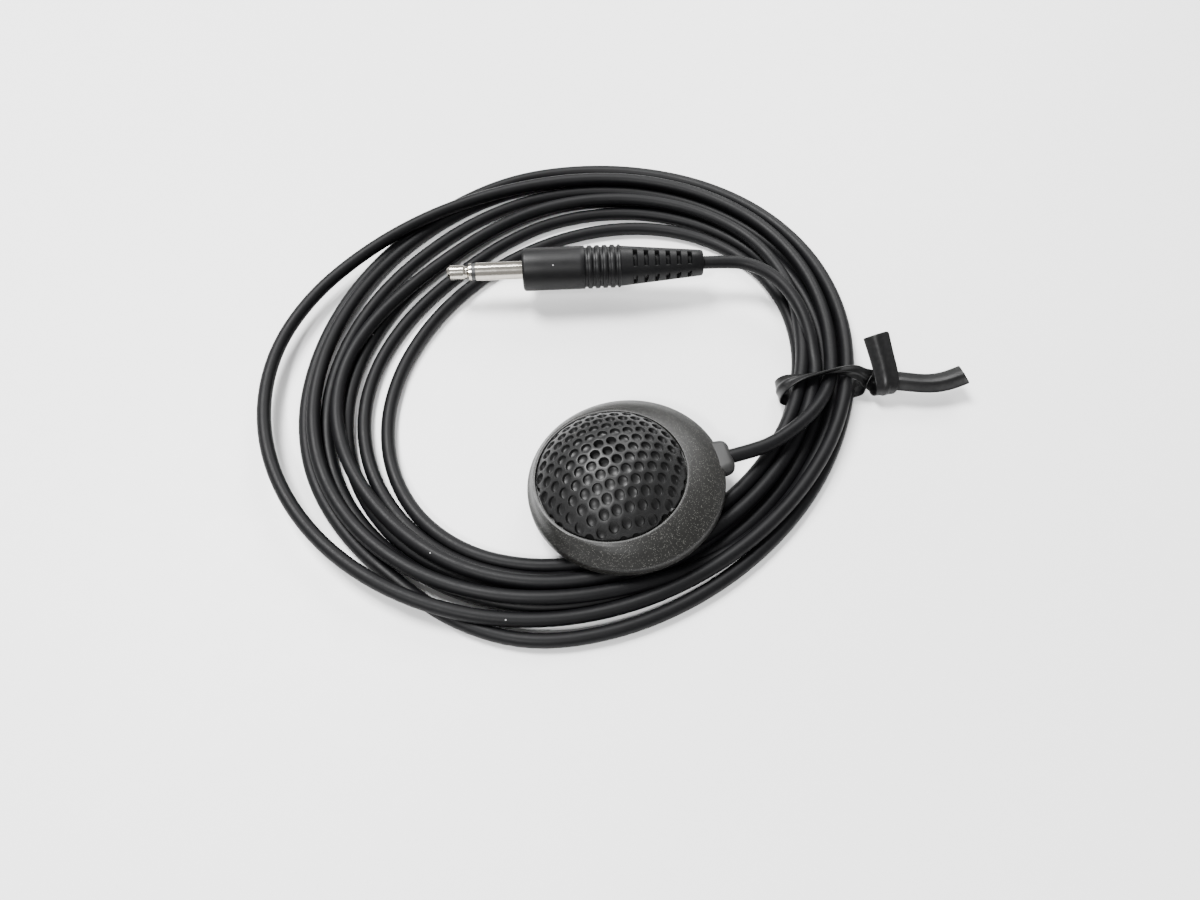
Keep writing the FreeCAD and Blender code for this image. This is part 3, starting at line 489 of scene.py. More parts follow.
# places under the tie: share of the way from the inner to the outer oval, height
UNDER_TIE = {
    "low 1": (0.0, TIE_LOW),
    "low 2": (0.25, TIE_LOW),
    "low 3": (0.5, TIE_LOW),
    "low 4": (0.75, TIE_LOW),
    "low 5": (1.0, TIE_LOW),
    "high 1": (0.02, TIE_HIGH),
    "high 2": (0.28, TIE_HIGH),
    "high 3": (0.58, TIE_HIGH),
    "high 4": (0.92, TIE_HIGH),
}

# every turn: its place under the tie at its start, the same at its end, and its share and height between
TURNS = [
    ("high 3", "high 4",
     [(0.745, 3.5), (0.74, 3.5), (0.83, 3.7), (1.0, 3.8), (0.93, 4.2), (0.90, 2.2), (0.88, 3.5)]),
    ("high 4", "low 5",
     [(1.0, 2.7), (1.0, FLAT), (0.80, FLAT), (0.68, FLAT), (0.66, FLAT), (1.24, FLAT), (1.08, FLAT)]),
    ("low 5", "low 4",
     [(0.84, FLAT), (0.84, FLAT), (0.74, FLAT), (0.60, 3.0), (0.56, 3.4), (0.58, 3.6), (0.82, FLAT)]),
    ("low 4", "low 3",
     [(0.65, FLAT), (0.66, FLAT), (0.55, FLAT), (0.50, FLAT), (0.48, FLAT), (0.66, FLAT), (0.57, FLAT)]),
    ("low 3", "low 2",
     [(0.46, FLAT), (0.49, FLAT), (0.36, FLAT), (0.34, FLAT), (0.31, FLAT), (0.40, FLAT), (0.31, FLAT)]),
    ("low 2", "low 1",
     [(0.27, FLAT), (0.28, FLAT), (0.17, FLAT), (0.20, FLAT), (0.14, FLAT), (0.14, FLAT), (0.06, FLAT)]),
    ("low 1", "high 1",
     [(0.04, FLAT), (0.02, FLAT), (0.0, FLAT), (0.0, FLAT), (-0.02, FLAT), (-0.15, 1.5), (0.03, 3.75)]),
    ("high 1", "high 2",
     [(0.365, 3.5), (0.40, 3.5), (0.30, 3.6), (0.42, 3.3), (0.24, 3.4), (0.30, 3.4), (0.32, 3.7)]),
]


def coil_spot(degrees, share, height):
    """A point of the coil at an angle, a share of the way from the inner oval to the outer one."""
    x, y, long, wide, turn = (a + share * (b - a) for a, b in zip(INNER_OVAL, OUTER_OVAL))
    lean = math.radians(degrees - turn)
    reach = long * wide / math.hypot(wide * math.cos(lean), long * math.sin(lean))
    around = math.radians(degrees)
    return (x + reach * math.cos(around), y + reach * math.sin(around), height)


def eased(places, values, at):
    """A smooth curve through the values that never overshoots them."""
    last = len(places) - 1
    i = max(n for n in range(last) if places[n] <= at)
    step = places[i + 1] - places[i]
    u = (at - places[i]) / step

    def slope(n):
        """The curve's slope at one of the places, which is level at a peak and at both ends."""
        if n in (0, last):
            return 0
        before = (values[n] - values[n - 1]) / (places[n] - places[n - 1])
        after = (values[n + 1] - values[n]) / (places[n + 1] - places[n])
        return 2 * before * after / (before + after) if before * after > 0 else 0

    rise = values[i] * (2 * u**3 - 3 * u**2 + 1) + values[i + 1] * (3 * u**2 - 2 * u**3)
    return rise + step * (slope(i) * (u**3 - 2 * u**2 + u) + slope(i + 1) * (u**3 - u**2))


def coil_points():
    """The points of all turns, from the end of the microphone's lead to the start of the plug's."""
    places = [TIE_ANGLE, TIE_ANGLE + HELD, *STATIONS, TIE_ANGLE + 360 - HELD, TIE_ANGLE + 360]
    points = []
    for start, end, middle in TURNS:
        first, last = UNDER_TIE[start], UNDER_TIE[end]
        route = [first, first, *middle, last, last]
        shares = [share for share, height in route]
        heights = [height for share, height in route]
        for k in range(POINTS_A_TURN):
            at = TIE_ANGLE + 360 * k / POINTS_A_TURN
            points.append(coil_spot(at, eased(places, shares, at), eased(places, heights, at)))
    points.append(coil_spot(TIE_ANGLE, *UNDER_TIE[TURNS[-1][1]]))
    return points


def cord_points(context):
    """The cord's whole route in metres, from the boss to the end of the plug's relief."""
    housing = housing_place(context)
    plug = plug_place(context)
    s = context.scene.table_mic_plug
    end = -(s.barrel_length + s.grip_length + s.relief_length)
    start = housing @ (Vector(EXIT) * MM)
    straight = housing @ ((Vector(EXIT) + Vector((FIRST_RUN, 0, 0))) * MM)
    route = [Vector(p) * MM for p in [*MIC_LEAD, *coil_points(), *reversed(PLUG_LEAD)]]
    return [start, straight, *route, plug @ Vector((0, 0, end - FIRST_RUN * MM)), plug @ Vector((0, 0, end))]


class TABLEMIC_OT_cord(bpy.types.Operator):
    """Lays the cord in its coil from the microphone's boss to the plug."""

    bl_idname = "table_mic.cord"
    bl_label = "Coiled cord"

    def execute(self, context):
        s = context.scene.table_mic_cord
        points = cord_points(context)
        curve = bpy.data.curves.new("cord", "CURVE")
        curve.dimensions = "3D"
        curve.bevel_depth = s.diameter / 2
        curve.bevel_resolution = 5
        curve.resolution_u = 6
        curve.use_fill_caps = True
        spline = curve.splines.new("NURBS")
        spline.points.add(len(points) - 1)
        for point, co in zip(spline.points, points):
            point.co = (*co, 1)
        spline.order_u = 3
        spline.use_endpoint_u = True
        curve.materials.append(FINISHES["jacket"])
        cord = bpy.data.objects.new("cord", curve)
        context.scene.collection.objects.link(cord)
        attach(cord, "root")
        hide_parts("cord_lead_mic", "cord_coil", "cord_lead_plug")
        return {"FINISHED"}


# ---------------------------------------------------------------- housing


SHELL_SIDES = 128
SHELL_WALL = 1.4 * MM
# the rim's lower and upper roundings: millimetres inwards from the rim and up from its edge
RIM_FOOT = [(0.25, 0), (0.06, 0.08), (0, 0.3)]
RIM_TOP = [(0, -0.7), (0.07, -0.3), (0.28, 0.02)]
# where the crescent starts, how much it swells and how much less it rises than from the rim to the lip
CRESCENT_IN = 0.6 * MM
CRESCENT_UP = 0.3 * MM
CRESCENT_START = 0.05
CRESCENT_SWELL = 0.35 * MM
CRESCENT_UNDER = 0.4 * MM
CRESCENT_SHARES = (0.2, 0.4, 0.6, 0.8)
# how much wider the lip is than the eye, and both their roundings: millimetres outwards and up
LIP = 0.3 * MM
LIP_ROUNDING = [(0.12, -0.03), (-0.05, 0)]
EYE_ROUNDING = [(0.04, -0.02), (0, -0.08)]
# the step inside the eye that the grille stands on, and the shell's underside
SEAT_DEPTH = 0.8 * MM
SEAT_WIDTH = 1.2 * MM
SEAT_UNDERSIDE = 1.3 * MM
SHOULDER_UNDERSIDE = 1.1 * MM

BOSS_ROOT = 13.6 * MM
BOSS_REACH = 18.6 * MM
BOSS_HALF_WIDTH = 3.75 * MM
BOSS_TAPER = 0.8
BOSS_LOW = 3.2 * MM
BOSS_HIGH = 6.3 * MM
BOSS_ROUNDING = 1.25 * MM
BOSS_STEPS = 6


class TABLEMIC_OT_top_shell(bpy.types.Operator):
    """Builds the rim and the crescent round the grille, with rounded edges."""

    bl_idname = "table_mic.top_shell"
    bl_label = "Top shell"

    def execute(self, context):
        s = context.scene.table_mic_housing
        rim, foot, top, crown = s.rim_radius, s.rim_foot, s.rim_top, s.crown
        eye, off = s.eye_radius, -s.eye_offset
        lip = eye + LIP
        rings = [(rim - SHELL_WALL, 0, foot)]
        rings += [(rim - inwards * MM, 0, foot + up * MM) for inwards, up in RIM_FOOT]
        rings += [(rim - inwards * MM, 0, top + up * MM) for inwards, up in RIM_TOP]
        rings.append((rim - CRESCENT_IN, CRESCENT_START * off, top + CRESCENT_UP))
        for share in CRESCENT_SHARES:
            radius = rim - CRESCENT_IN + share * (lip - rim + CRESCENT_IN)
            height = top + CRESCENT_UP + share * (crown - top - CRESCENT_UNDER)
            rings.append((radius, off * share, height + CRESCENT_SWELL * math.sin(math.pi * share)))
        rings += [(lip + out * MM, off, crown + up * MM) for out, up in LIP_ROUNDING]
        rings += [(eye + out * MM, off, crown + up * MM) for out, up in EYE_ROUNDING]
        rings += [
            (eye, off, crown - SEAT_DEPTH),
            (eye - SEAT_WIDTH, off, crown - SEAT_DEPTH),
            (eye - SEAT_WIDTH, off, crown - SEAT_UNDERSIDE),
            (rim - SHELL_WALL, 0, top - SHOULDER_UNDERSIDE),
            (rim - SHELL_WALL, 0, foot),
        ]
        bm = bmesh.new()
        ring_stack(bm, rings, SHELL_SIDES)
        shell = to_object(bm, "top_shell_skin", ["housing"], sharp=50, place=housing_place(context))
        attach(shell, "root")
        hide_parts("top_shell")
        return {"FINISHED"}


class TABLEMIC_OT_boss(bpy.types.Operator):
    """Builds the rounded stub that the cord leaves the housing through."""

    bl_idname = "table_mic.boss"
    bl_label = "Cord boss"

    def execute(self, context):
        bm = bmesh.new()
        bmesh.ops.create_cube(bm, size=1)
        size = (BOSS_REACH - BOSS_ROOT, 2 * BOSS_HALF_WIDTH, BOSS_HIGH - BOSS_LOW)
        bmesh.ops.scale(bm, verts=bm.verts, vec=size)
        middle = ((BOSS_REACH + BOSS_ROOT) / 2, 0, (BOSS_HIGH + BOSS_LOW) / 2)
        bmesh.ops.translate(bm, verts=bm.verts, vec=middle)
        tip = [v for v in bm.verts if v.co.x > middle[0]]
        bmesh.ops.scale(bm, verts=tip, vec=(1, BOSS_TAPER, 1))
        bmesh.ops.bevel(
            bm, geom=bm.verts[:] + bm.edges[:], offset=BOSS_ROUNDING, segments=BOSS_STEPS, profile=0.5,
            affect="EDGES", material=-1,
        )
        boss = to_object(bm, "boss_stub", ["boss"], sharp=50, place=housing_place(context))
        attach(boss, "root")
        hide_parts("cord_boss")
        return {"FINISHED"}


# ---------------------------------------------------------------- grille

TILE_SIDES = 24
TRIM_SIDES = 72
# corners of two tiles nearer than this are made one
TILE_JOIN = 0.004 * MM
# how many rings of holes go through, counted from the middle hole
OPEN_RINGS = 1
# how far tiles reach past the edge, and how far they stay inside the ball, in hole pitches
PAST_EDGE = 0.8
INSIDE_BALL = 0.62
# a hole's softened edge: millimetres out from its wall and down from the dome
HOLE_EDGE = [(0.05, 0), (0.012, -0.018), (0, -0.07)]
HOLE_FLOOR_ROUNDING = 0.05 * MM
# how strongly a hole is stretched along the slope that it stands on
SLOPE_STRETCH = 0.6
# how far in from the edge faces may still be cut, and how near the cut a corner counts as on it
TRIM_BAND = 1.2 * MM
TRIM_NEAR = 0.0005 * MM
# how far under the eye's lip the wall below the edge ends
WALL_FOOT = 0.78 * MM
# the stretch of the edge, in degrees, where the gap to the eye is wider
GAP_AZIMUTHS = (-66, -49)
GAP_SHARE = 0.97


class TABLEMIC_OT_grille(bpy.types.Operator):
    """Builds the domed grille with its lattice of holes."""

    bl_idname = "table_mic.grille"
    bl_label = "Domed grille"

    def execute(self, context):
        s = context.scene.table_mic_grille
        crown = context.scene.table_mic_housing.crown
        ball = (s.radius**2 + s.rise**2) / (2 * s.rise)
        centre = crown + s.rise - ball
        reach = min(s.radius + PAST_EDGE * s.hole_pitch, ball - INSIDE_BALL * s.hole_pitch)
        bm = bmesh.new()
        for j in range(-s.rings, s.rings + 1):
            for i in range(-s.rings, s.rings + 1):
                x = s.hole_pitch * (i + j / 2)
                y = s.hole_pitch * j * math.sqrt(3) / 2
                if math.hypot(x, y) < reach:
                    is_open = max(abs(i), abs(j), abs(i + j)) <= OPEN_RINGS
                    depth = s.open_depth if is_open else s.dimple_depth
                    tile = self.tile(s, depth, int(is_open), (x, y), ball)
                    bm.from_mesh(tile)
                    bpy.data.meshes.remove(tile)
        bmesh.ops.remove_doubles(bm, verts=bm.verts, dist=TILE_JOIN)
        bmesh.ops.translate(bm, verts=bm.verts, vec=(0, 0, centre))
        self.trim(bm, s.radius, crown)
        grille = to_object(bm, "grille_dome", ["grille", "felt"], sharp=50, place=eye_place(context))
        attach(grille, "root")
        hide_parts("dome_grille")
        return {"FINISHED"}

    def tile(self, s, depth, floor_material, middle, ball):
        """A six-sided tile of the dome with a round hole that has a softened edge and a floor."""
        bm = bmesh.new()
        hole = s.hole_radius
        rings = [(hole + out * MM, 0, up * MM) for out, up in HOLE_EDGE]
        rings.append((hole, 0, -depth + HOLE_FLOOR_ROUNDING))
        rings.append((hole - HOLE_FLOOR_ROUNDING, 0, -depth))
        floor = ring_stack(bm, rings, TILE_SIDES)
        base = bmesh.ops.contextual_create(bm, geom=floor)["faces"]
        for face in base:
            face.material_index = floor_material
            for side in {f for v in face.verts for f in v.link_faces}:
                side.material_index = floor_material
        x, y = middle
        lean = math.asin(math.hypot(x, y) / ball)
        rim = [e for e in bm.edges if e.is_boundary]
        made = bmesh.ops.extrude_edge_only(bm, edges=rim)["geom"]
        outside = [g for g in made if isinstance(g, bmesh.types.BMVert)]
        around = {v: math.atan2(v.co.y, v.co.x) for v in outside}
        axis = Vector((-y, x, 0)) if lean else Vector((1, 0, 0))
        stand = Matrix.Rotation(lean, 4, axis) @ Matrix.Translation((0, 0, ball))
        uphill = Matrix.Rotation(math.atan2(y, x), 4, "Z")
        longer = Matrix.Diagonal((math.cos(lean) ** -SLOPE_STRETCH, 1, 1, 1))
        stretch = uphill @ longer @ uphill.inverted()
        bmesh.ops.transform(bm, matrix=stand @ stretch, verts=bm.verts)
        for v, turn in around.items():
            from_side = (turn + math.radians(30)) % math.radians(60) - math.radians(30)
            out = s.hole_pitch / 2 / math.cos(from_side)
            side = Vector((x + out * math.cos(turn), y + out * math.sin(turn)))
            v.co = (side.x, side.y, math.sqrt(max(ball**2 - side.length_squared, 0)))
        mesh = bpy.data.meshes.new("grille_tile")
        bm.to_mesh(mesh)
        bm.free()
        return mesh

    def trim(self, bm, radius, crown):
        """Cuts the dome to a round edge with a wall below it, which stays open underneath, inside the eye."""
        for k in range(TRIM_SIDES):
            turn = math.tau * k / TRIM_SIDES
            out = Vector((math.cos(turn), math.sin(turn), 0))
            near = [f for f in bm.faces if f.calc_center_median().dot(out) > radius - TRIM_BAND]
            geom = list({v for f in near for v in f.verts} | {e for f in near for e in f.edges} | set(near))
            bmesh.ops.bisect_plane(
                bm, geom=geom, dist=TRIM_NEAR, plane_co=out * radius, plane_no=out, clear_outer=True
            )
        rim = [e for e in bm.edges if e.is_boundary]
        made = bmesh.ops.extrude_edge_only(bm, edges=rim)["geom"]
        low = [g for g in made if isinstance(g, bmesh.types.BMVert)]
        for v in low:
            v.co.z = crown - WALL_FOOT
        edge = {v for e in rim for v in e.verts} | set(low)
        first, last = GAP_AZIMUTHS
        inwards = [v for v in edge if first < math.degrees(math.atan2(v.co.y, v.co.x)) < last]
        bmesh.ops.scale(bm, verts=inwards, vec=(GAP_SHARE, GAP_SHARE, 1))


# ---------------------------------------------------------------- plug


PLUG_SIDES = 72
# the hole in the front face that the sleeve comes out of, and the cord's hole at the other end
FRONT_HOLE = 1.78 * MM
CORD_HOLE = 1.3 * MM
HOLE_DEPTH = 2 * MM
# how far in from the barrel the front's rounding starts, its radius and its steps in degrees
FRONT_CHAMFER = 0.9 * MM
FRONT_ROUNDING = 0.6 * MM
FRONT_STEPS = (15, 30, 45, 60, 75, 90)
# rings of the smooth barrel, in millimetres from its front, and how far before the grip the last one is
BARREL_RINGS = (4, 8)
BARREL_END = 0.4 * MM
# the grip's grooves: how many, and where they start, in millimetres
GROOVES = 5
FIRST_GROOVE = 0.6
GROOVE_PITCH = 1.45
# one groove of the grip: millimetres inwards from the barrel and along the axis from the groove's start
GROOVE = [(0, 0.16), (0.06, 0.03), (0.3, -0.08), (0.36, -0.3), (0.3, -0.52), (0.06, -0.63), (0, -0.76)]
GRIP_CHAMFER = 0.12 * MM
# the relief's radius at the grip and at its end, and its slots along the axis
RELIEF_FRONT = 3.85 * MM
RELIEF_END = 2.45 * MM
RELIEF_CHAMFER = 0.15 * MM
SLOTS = 6
FIRST_SLOT = 2.3 * MM
SLOT_PITCH = 2.1 * MM
SLOT_LENGTH = 0.9 * MM
# half of a slot's width, in degrees, and the radius that its faces lie outside of
SLOT_HALF = 28
SLOT_CORE = 2.2 * MM
# each slot is pressed in twice: the width of the border that stays, and the depth
SLOT_PRESSES = [(0.1 * MM, -0.12 * MM), (0.02 * MM, -0.75 * MM)]


class TABLEMIC_OT_plug_moulding(bpy.types.Operator):
    """Builds the plug's barrel, ridged grip and slotted strain relief."""

    bl_idname = "table_mic.plug_moulding"
    bl_label = "Plug moulding"

    def execute(self, context):
        s = context.scene.table_mic_plug
        barrel, grip = s.barrel_radius, -(s.barrel_length + s.grip_length)
        outline = [(FRONT_HOLE, -HOLE_DEPTH), (FRONT_HOLE, 0), (barrel - FRONT_CHAMFER, 0)]
        for degrees in FRONT_STEPS:
            lean = math.radians(degrees)
            inwards = FRONT_ROUNDING * (1 - math.sin(lean))
            outline.append((barrel - inwards, -FRONT_ROUNDING * (1 - math.cos(lean))))
        outline += [(barrel, -along * MM) for along in BARREL_RINGS]
        outline.append((barrel, -s.barrel_length + BARREL_END))
        for groove in range(GROOVES):
            start = -s.barrel_length - (FIRST_GROOVE + GROOVE_PITCH * groove) * MM
            outline += [(barrel - inwards * MM, start + along * MM) for inwards, along in GROOVE]
        outline += [(barrel, grip + GRIP_CHAMFER), (barrel - GRIP_CHAMFER, grip), (RELIEF_FRONT, grip)]
        slots = []
        for k in range(SLOTS):
            top = FIRST_SLOT + k * SLOT_PITCH
            slots.append((grip - top, grip - top - SLOT_LENGTH))
            for down in (top, top + SLOT_LENGTH):
                radius = RELIEF_FRONT - (RELIEF_FRONT - RELIEF_END) * down / s.relief_length
                outline.append((radius, grip - down))
        stop = grip - s.relief_length
        outline += [(RELIEF_END, stop + RELIEF_CHAMFER), (RELIEF_END - RELIEF_CHAMFER, stop)]
        outline += [(CORD_HOLE, stop), (CORD_HOLE, stop + HOLE_DEPTH)]
        bm = bmesh.new()
        spun(bm, outline, PLUG_SIDES)
        bmesh.ops.remove_doubles(bm, verts=bm.verts, dist=DOUBLES)
        bmesh.ops.recalc_face_normals(bm, faces=bm.faces)
        for high, low in slots:
            for quarter in range(4):
                self.slot(bm, high, low, quarter * 90)
        body = to_object(bm, "plug_moulding", ["moulding"], sharp=40, place=plug_place(context))
        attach(body, "root")
        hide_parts("plug_body")
        return {"FINISHED"}

    def slot(self, bm, high, low, degrees):
        """Presses one slot into the relief between two ribs."""
        faces = []
        for face in bm.faces:
            centre = face.calc_center_median()
            turn = math.degrees(math.atan2(centre.y, centre.x)) - degrees
            turn = (turn + 180) % 360 - 180
            if low < centre.z < high and abs(turn) < SLOT_HALF and centre.xy.length > SLOT_CORE:
                faces.append(face)
        if not faces:
            raise RuntimeError("a slot of the relief found no faces")
        for border, depth in SLOT_PRESSES:
            bmesh.ops.inset_region(bm, faces=faces, thickness=border, depth=depth, use_even_offset=True)


# ---------------------------------------------------------------- twist tie


# how many times the ribbon is subdivided
RIBBON_SMOOTHING = 2
# half of the upper side's outline, as shares: of the half width, and of the edge's or the wire's height
RIBBON_EDGE = [(1, 0.7), (0.93, 1), (0.3, 1)]
WIRE_SIDE = (0.17, 0.8)


def ribbon_section(s):
    """The outline of the ribbon's section, with the ridge over its wire: across, up."""
    half, thick, wire = s.width / 2, s.thickness / 2, s.wire_radius
    side = [(half * across, thick * up) for across, up in RIBBON_EDGE]
    side.append((half * WIRE_SIDE[0], wire * WIRE_SIDE[1]))
    top = [(-across, up) for across, up in side] + [(0, wire)] + side[::-1]
    return top + [(across, -up) for across, up in reversed(top)]


def sweep(bm, section, stations):
    """Extrudes a flat section from station to station: centre, forward, across and how wide it is."""

    def matrix(centre, forward, across, wide):
        """A station's matrix, in the frame's metres."""
        forward = Vector(forward).normalized()
        across = Vector(across)
        across = (across - forward * across.dot(forward)).normalized()
        up = forward.cross(across)
        turn = Matrix((across * wide, up, forward)).transposed().to_4x4()
        return Matrix.Translation(Vector(centre) * MM) @ turn

    now = matrix(*stations[0])
    verts = [bm.verts.new(now @ Vector((x, y, 0))) for x, y in section]
    face = bm.faces.new(verts)
    for station in stations[1:]:
        after = matrix(*station)
        made = bmesh.ops.extrude_face_region(bm, geom=[face])["geom"]
        old = face
        face = next(g for g in made if isinstance(g, bmesh.types.BMFace))
        if old.is_valid and len(old.edges[0].link_faces) > 2:
            bmesh.ops.delete(bm, geom=[old], context="FACES_ONLY")
        bmesh.ops.transform(bm, matrix=after @ now.inverted(), verts=list(face.verts))
        now = after


def path_stations(points):
    """Stations whose forward direction follows their neighbours: each point is (x, y, z, across, wide)."""
    stations = []
    last = len(points) - 1
    for n, (x, y, z, across, wide) in enumerate(points):
        before, after = points[max(n - 1, 0)], points[min(n + 1, last)]
        forward = Vector(after[:3]) - Vector(before[:3])
        stations.append(((x, y, z), forward, across, wide))
    return stations


class TABLEMIC_OT_twist_tie(bpy.types.Operator):
    """Builds the flat twist tie round the coil, with its knot and two tails."""

    bl_idname = "table_mic.twist_tie"
    bl_label = "Twist tie"

    def execute(self, context):
        s = context.scene.table_mic_tie
        back = (0, -1, 0)
        short_tail = [
            (46.7, 27.3, 7.9, (1, 0.05, 0), 1.25),
            (46.8, 27.0, 7.8, (1, 0.05, 0), 1.25),
            (47.1, 25.0, 7.1, (1, 0.1, 0), 1.2),
            (47.5, 22.6, 6.3, (1, 0.1, 0), 1.15),
            (47.8, 20.4, 5.6, (1, 0.05, 0), 1.15),
            (47.9, 18.7, 4.9, (1, 0, 0), 1.1),
            (48.0, 17.5, 3.6, (1, 0, 0), 0.95),
            (47.8, 17.8, 2.0, (1, 0, 0), 0.85),
            (47.2, 19.0, 1.2, (1, 0.5, 0), 0.7),
        ]
        knot_in = [
            (46.6, 19.6, 2.0, (0.5, 0.8, 0.2), 0.85),
            (45.8, 20.2, 3.2, (0, 0.9, 0.5), 1.0),
            (44.8, 20.3, 4.2, (0, 0.4, 0.9), 0.95),
        ]
        over = [
            (43.8, 20.2, 4.9, (0, 0.9, 0.45), 0.75),
            (42.3, 20.5, 6.2, (0, 0.6, 0.8), 0.66),
            (40.0, 20.7, 6.5, (0, 0.15, 1), 0.58),
            (37.0, 20.4, 6.5, (0, -0.3, 0.95), 0.6),
            (34.0, 20.0, 6.35, (0, -0.55, 0.8), 0.66),
            (31.6, 19.8, 6.0, (0, -0.8, 0.6), 0.75),
            (29.4, 19.6, 5.1, (0, -0.95, 0.3), 1.05),
            (28.2, 19.2, 3.5, (0, -1, 0.1), 1.15),
            (28.3, 19.2, 1.9, (0, -1, 0.1), 1.15),
            (29.6, 19.4, 0.65, back, 1.0),
            (31.8, 19.6, 0.25, back, 1.0),
            (37.0, 20.0, 0.25, back, 1.0),
            (41.5, 20.3, 0.25, back, 1.0),
            (43.9, 20.3, 1.0, back, 0.9),
        ]
        knot_out = [
            (44.6, 20.1, 2.0, (0, -1, 0.3), 1.0),
            (45.3, 20.1, 2.7, (0, -0.6, 0.9), 1.0),
            (46.1, 20.0, 3.2, (0, 0.2, 1), 1.0),
            (47.0, 20.0, 3.5, (0, 0.8, 0.6), 1.0),
        ]
        long_tail = [
            (48.6, 19.9, 3.6, (0.05, 1, 0.1), 0.95),
            (50.8, 19.6, 3.7, (0.1, 1, 0.1), 1.0),
            (53.6, 19.1, 3.6, (0.12, 1, 0.05), 1.0),
            (56.4, 18.9, 3.4, (0.0, 1, 0.05), 1.0),
            (59.2, 19.2, 3.5, (-0.12, 1, 0.05), 1.0),
            (61.6, 19.9, 3.8, (-0.15, 1, 0.05), 1.0),
            (62.6, 20.2, 4.0, (-0.15, 1, 0.05), 1.0),
            (62.8, 20.25, 4.05, (-0.15, 1, 0.05), 1.0),
        ]
        bm = bmesh.new()
        route = short_tail + knot_in + over + knot_out + long_tail
        sweep(bm, ribbon_section(s), path_stations(route))
        tie = to_object(bm, "twist_tie_ribbon", ["ribbon"], sharp=60)
        soft = tie.modifiers.new("smooth ribbon", "SUBSURF")
        soft.levels = RIBBON_SMOOTHING
        soft.render_levels = RIBBON_SMOOTHING
        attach(tie, "root")
        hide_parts("twist_tie")
        return {"FINISHED"}


# ---------------------------------------------------------------- finishes of the CAD nodes


class TABLEMIC_OT_finishes(bpy.types.Operator):
    """Makes every finish and gives each part of the fixed frame its own."""

    bl_idname = "table_mic.finishes"
    bl_label = "Finishes"

    def execute(self, context):
        make_finishes(context)
        for name, key in NODE_FINISHES.items():
            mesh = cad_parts[name].data
            mesh.materials.clear()
            mesh.materials.append(FINISHES[key])
        return {"FINISHED"}


# ---------------------------------------------------------------- the pieces on the cord


class TABLEMIC_OT_declare_cord(bpy.types.Operator):
    """Gathers the plug's moulding, the twist tie's ribbon and the plug's parts of the frame into a list, and
    does nothing more with them.
    """

    bl_idname = "table_mic.declare_cord"
    bl_label = "Cord's facts"

    def execute(self, context):
        on_it = [bpy.data.objects[name] for name in ("plug_moulding", "twist_tie_ribbon")]
        for name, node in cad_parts.items():
            if name.startswith("plug_") and name != "plug_body":
                on_it.append(node)
        return {"FINISHED"}


# ---------------------------------------------------------------- stage


FLOOR_HALF = 0.9
FLOOR_STEPS = 8
ROOM_STRENGTH = 0.55
LENS = 27
SENSOR = 36
NEAREST = 0.005
CAMERA_AT = (-9.07, -70.87, 140.30)
CAMERA_TARGET = (-4.83, 10.02, 0)
LIGHT_TARGET = (0, 0.02, 0)
# each light: its name, its place in metres, the length of its side and its power
LIGHTS = [
    ("key_light", (-0.3, 0.35, 0.8), 0.35, 26.0),
    ("front_light", (-0.3, -0.5, 0.75), 0.14, 10.0),
    ("back_light", (0.3, 0.8, 0.6), 0.4, 9.0),
]


def aimed(at, target):
    """The matrix of a camera or light that stands at one point and looks at another."""
    return Matrix.Translation(at) @ (target - at).to_track_quat("-Z", "Y").to_matrix().to_4x4()


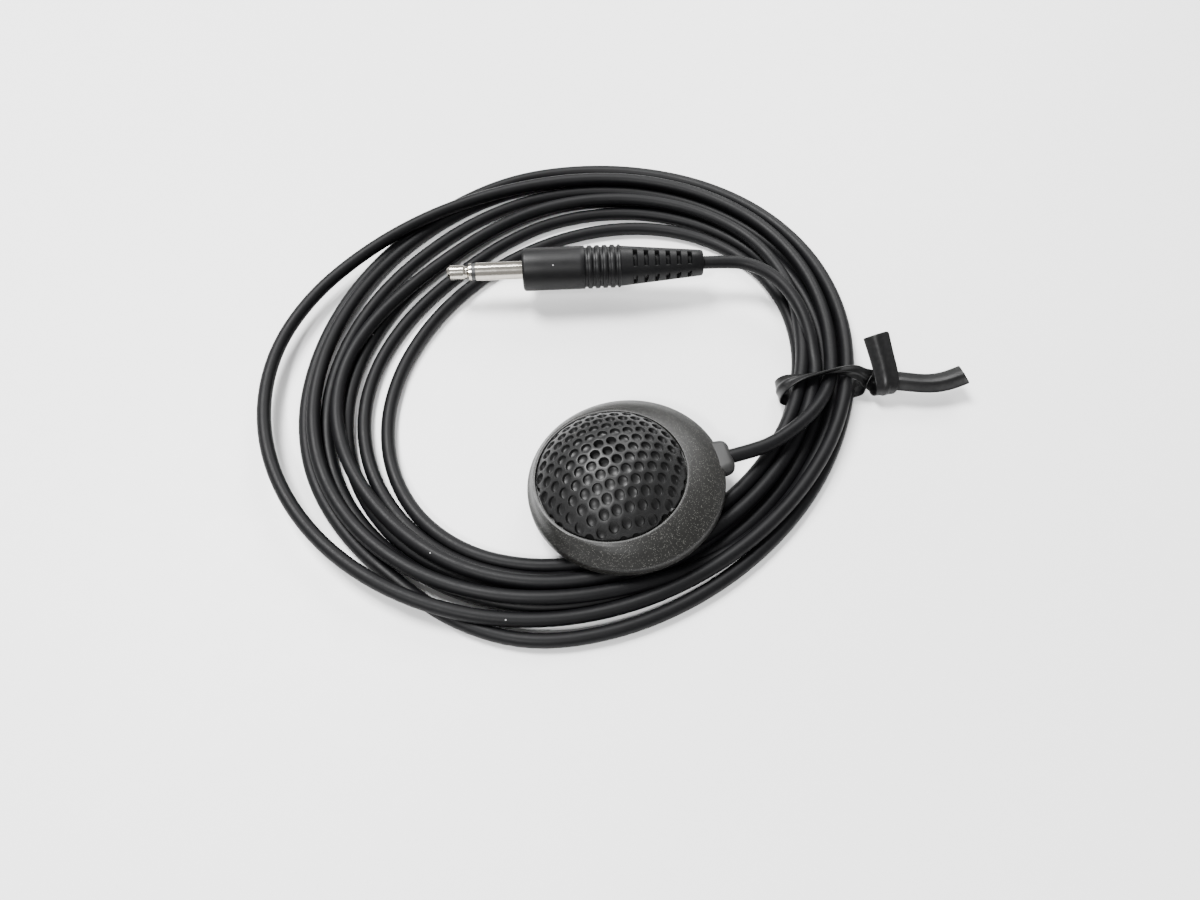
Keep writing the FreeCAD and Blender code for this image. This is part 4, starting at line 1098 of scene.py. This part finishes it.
class TABLEMIC_OT_stage(bpy.types.Operator):
    """Sets the camera, a pale floor and soft studio lights."""

    bl_idname = "table_mic.stage"
    bl_label = "Stage"

    def execute(self, context):
        self.camera(context)
        bm = bmesh.new()
        bmesh.ops.create_grid(bm, x_segments=FLOOR_STEPS, y_segments=FLOOR_STEPS, size=FLOOR_HALF)
        mesh = bpy.data.meshes.new("floor")
        bm.to_mesh(mesh)
        bm.free()
        tone = tuple(context.scene.table_mic_colours.floor)
        mesh.materials.append(finish(
            "pale_floor", tone, toned(tone, 0.985), grain=220, roughness=0.45,
            rough_swing=0.04, bump=0.05, depth=0.1 * MM, specular=0.35,
        ))
        floor = bpy.data.objects.new("floor", mesh)
        context.scene.collection.objects.link(floor)
        for name, at, side, power in LIGHTS:
            self.light(context, name, Vector(at), side, power)
        world = bpy.data.worlds.new("soft_room")
        world.use_nodes = True
        background = world.node_tree.nodes["Background"]
        background.inputs["Color"].default_value = (1, 1, 1, 1)
        background.inputs["Strength"].default_value = ROOM_STRENGTH
        context.scene.world = world
        return {"FINISHED"}

    def camera(self, context):
        """The camera, above the front of the object."""
        lens = bpy.data.cameras.new("camera")
        lens.lens = LENS
        lens.sensor_width = SENSOR
        lens.clip_start = NEAREST
        camera = bpy.data.objects.new("camera", lens)
        camera.matrix_world = aimed(Vector(CAMERA_AT) * MM, Vector(CAMERA_TARGET) * MM)
        context.scene.collection.objects.link(camera)
        context.scene.camera = camera

    def light(self, context, name, at, side, power):
        """One square soft light that faces the middle of the object."""
        lamp = bpy.data.lights.new(name, "AREA")
        lamp.size = side
        lamp.energy = power
        thing = bpy.data.objects.new(name, lamp)
        thing.matrix_world = aimed(at, Vector(LIGHT_TARGET))
        context.scene.collection.objects.link(thing)


# ---------------------------------------------------------------- panel


OPERATORS = (
    TABLEMIC_OT_finishes,
    TABLEMIC_OT_stage,
    TABLEMIC_OT_cord,
    TABLEMIC_OT_top_shell,
    TABLEMIC_OT_boss,
    TABLEMIC_OT_grille,
    TABLEMIC_OT_plug_moulding,
    TABLEMIC_OT_twist_tie,
    TABLEMIC_OT_declare_cord,
)


class TABLEMIC_PT_panel(bpy.types.Panel):
    """Lists the microphone's sizes, colours and pieces."""

    bl_idname = "TABLEMIC_PT_panel"
    bl_label = "Table microphone"
    bl_space_type = "VIEW_3D"
    bl_region_type = "UI"
    bl_category = "Table microphone"

    def draw(self, context):
        for key, group in GROUPS.items():
            box = self.layout.box()
            box.label(text=group.__doc__)
            for name in group.__annotations__:
                box.prop(getattr(context.scene, key), name)
        for operator in OPERATORS:
            self.layout.operator(operator.bl_idname)


def register():
    """Registers the groups of sizes, the operators and the panel."""
    for group in GROUPS.values():
        bpy.utils.register_class(group)
    for key, group in GROUPS.items():
        setattr(bpy.types.Scene, key, PointerProperty(type=group))
    for thing in (*OPERATORS, TABLEMIC_PT_panel):
        bpy.utils.register_class(thing)


def unregister():
    """Takes them all away again."""
    for thing in reversed((*OPERATORS, TABLEMIC_PT_panel)):
        bpy.utils.unregister_class(thing)
    for key in GROUPS:
        delattr(bpy.types.Scene, key)
    for group in reversed(list(GROUPS.values())):
        bpy.utils.unregister_class(group)


def main():
    """Builds every piece in order."""
    register()
    for operator in OPERATORS:
        family, name = operator.bl_idname.split(".")
        getattr(getattr(bpy.ops, family), name)()


if __name__ == "__main__":
    main()
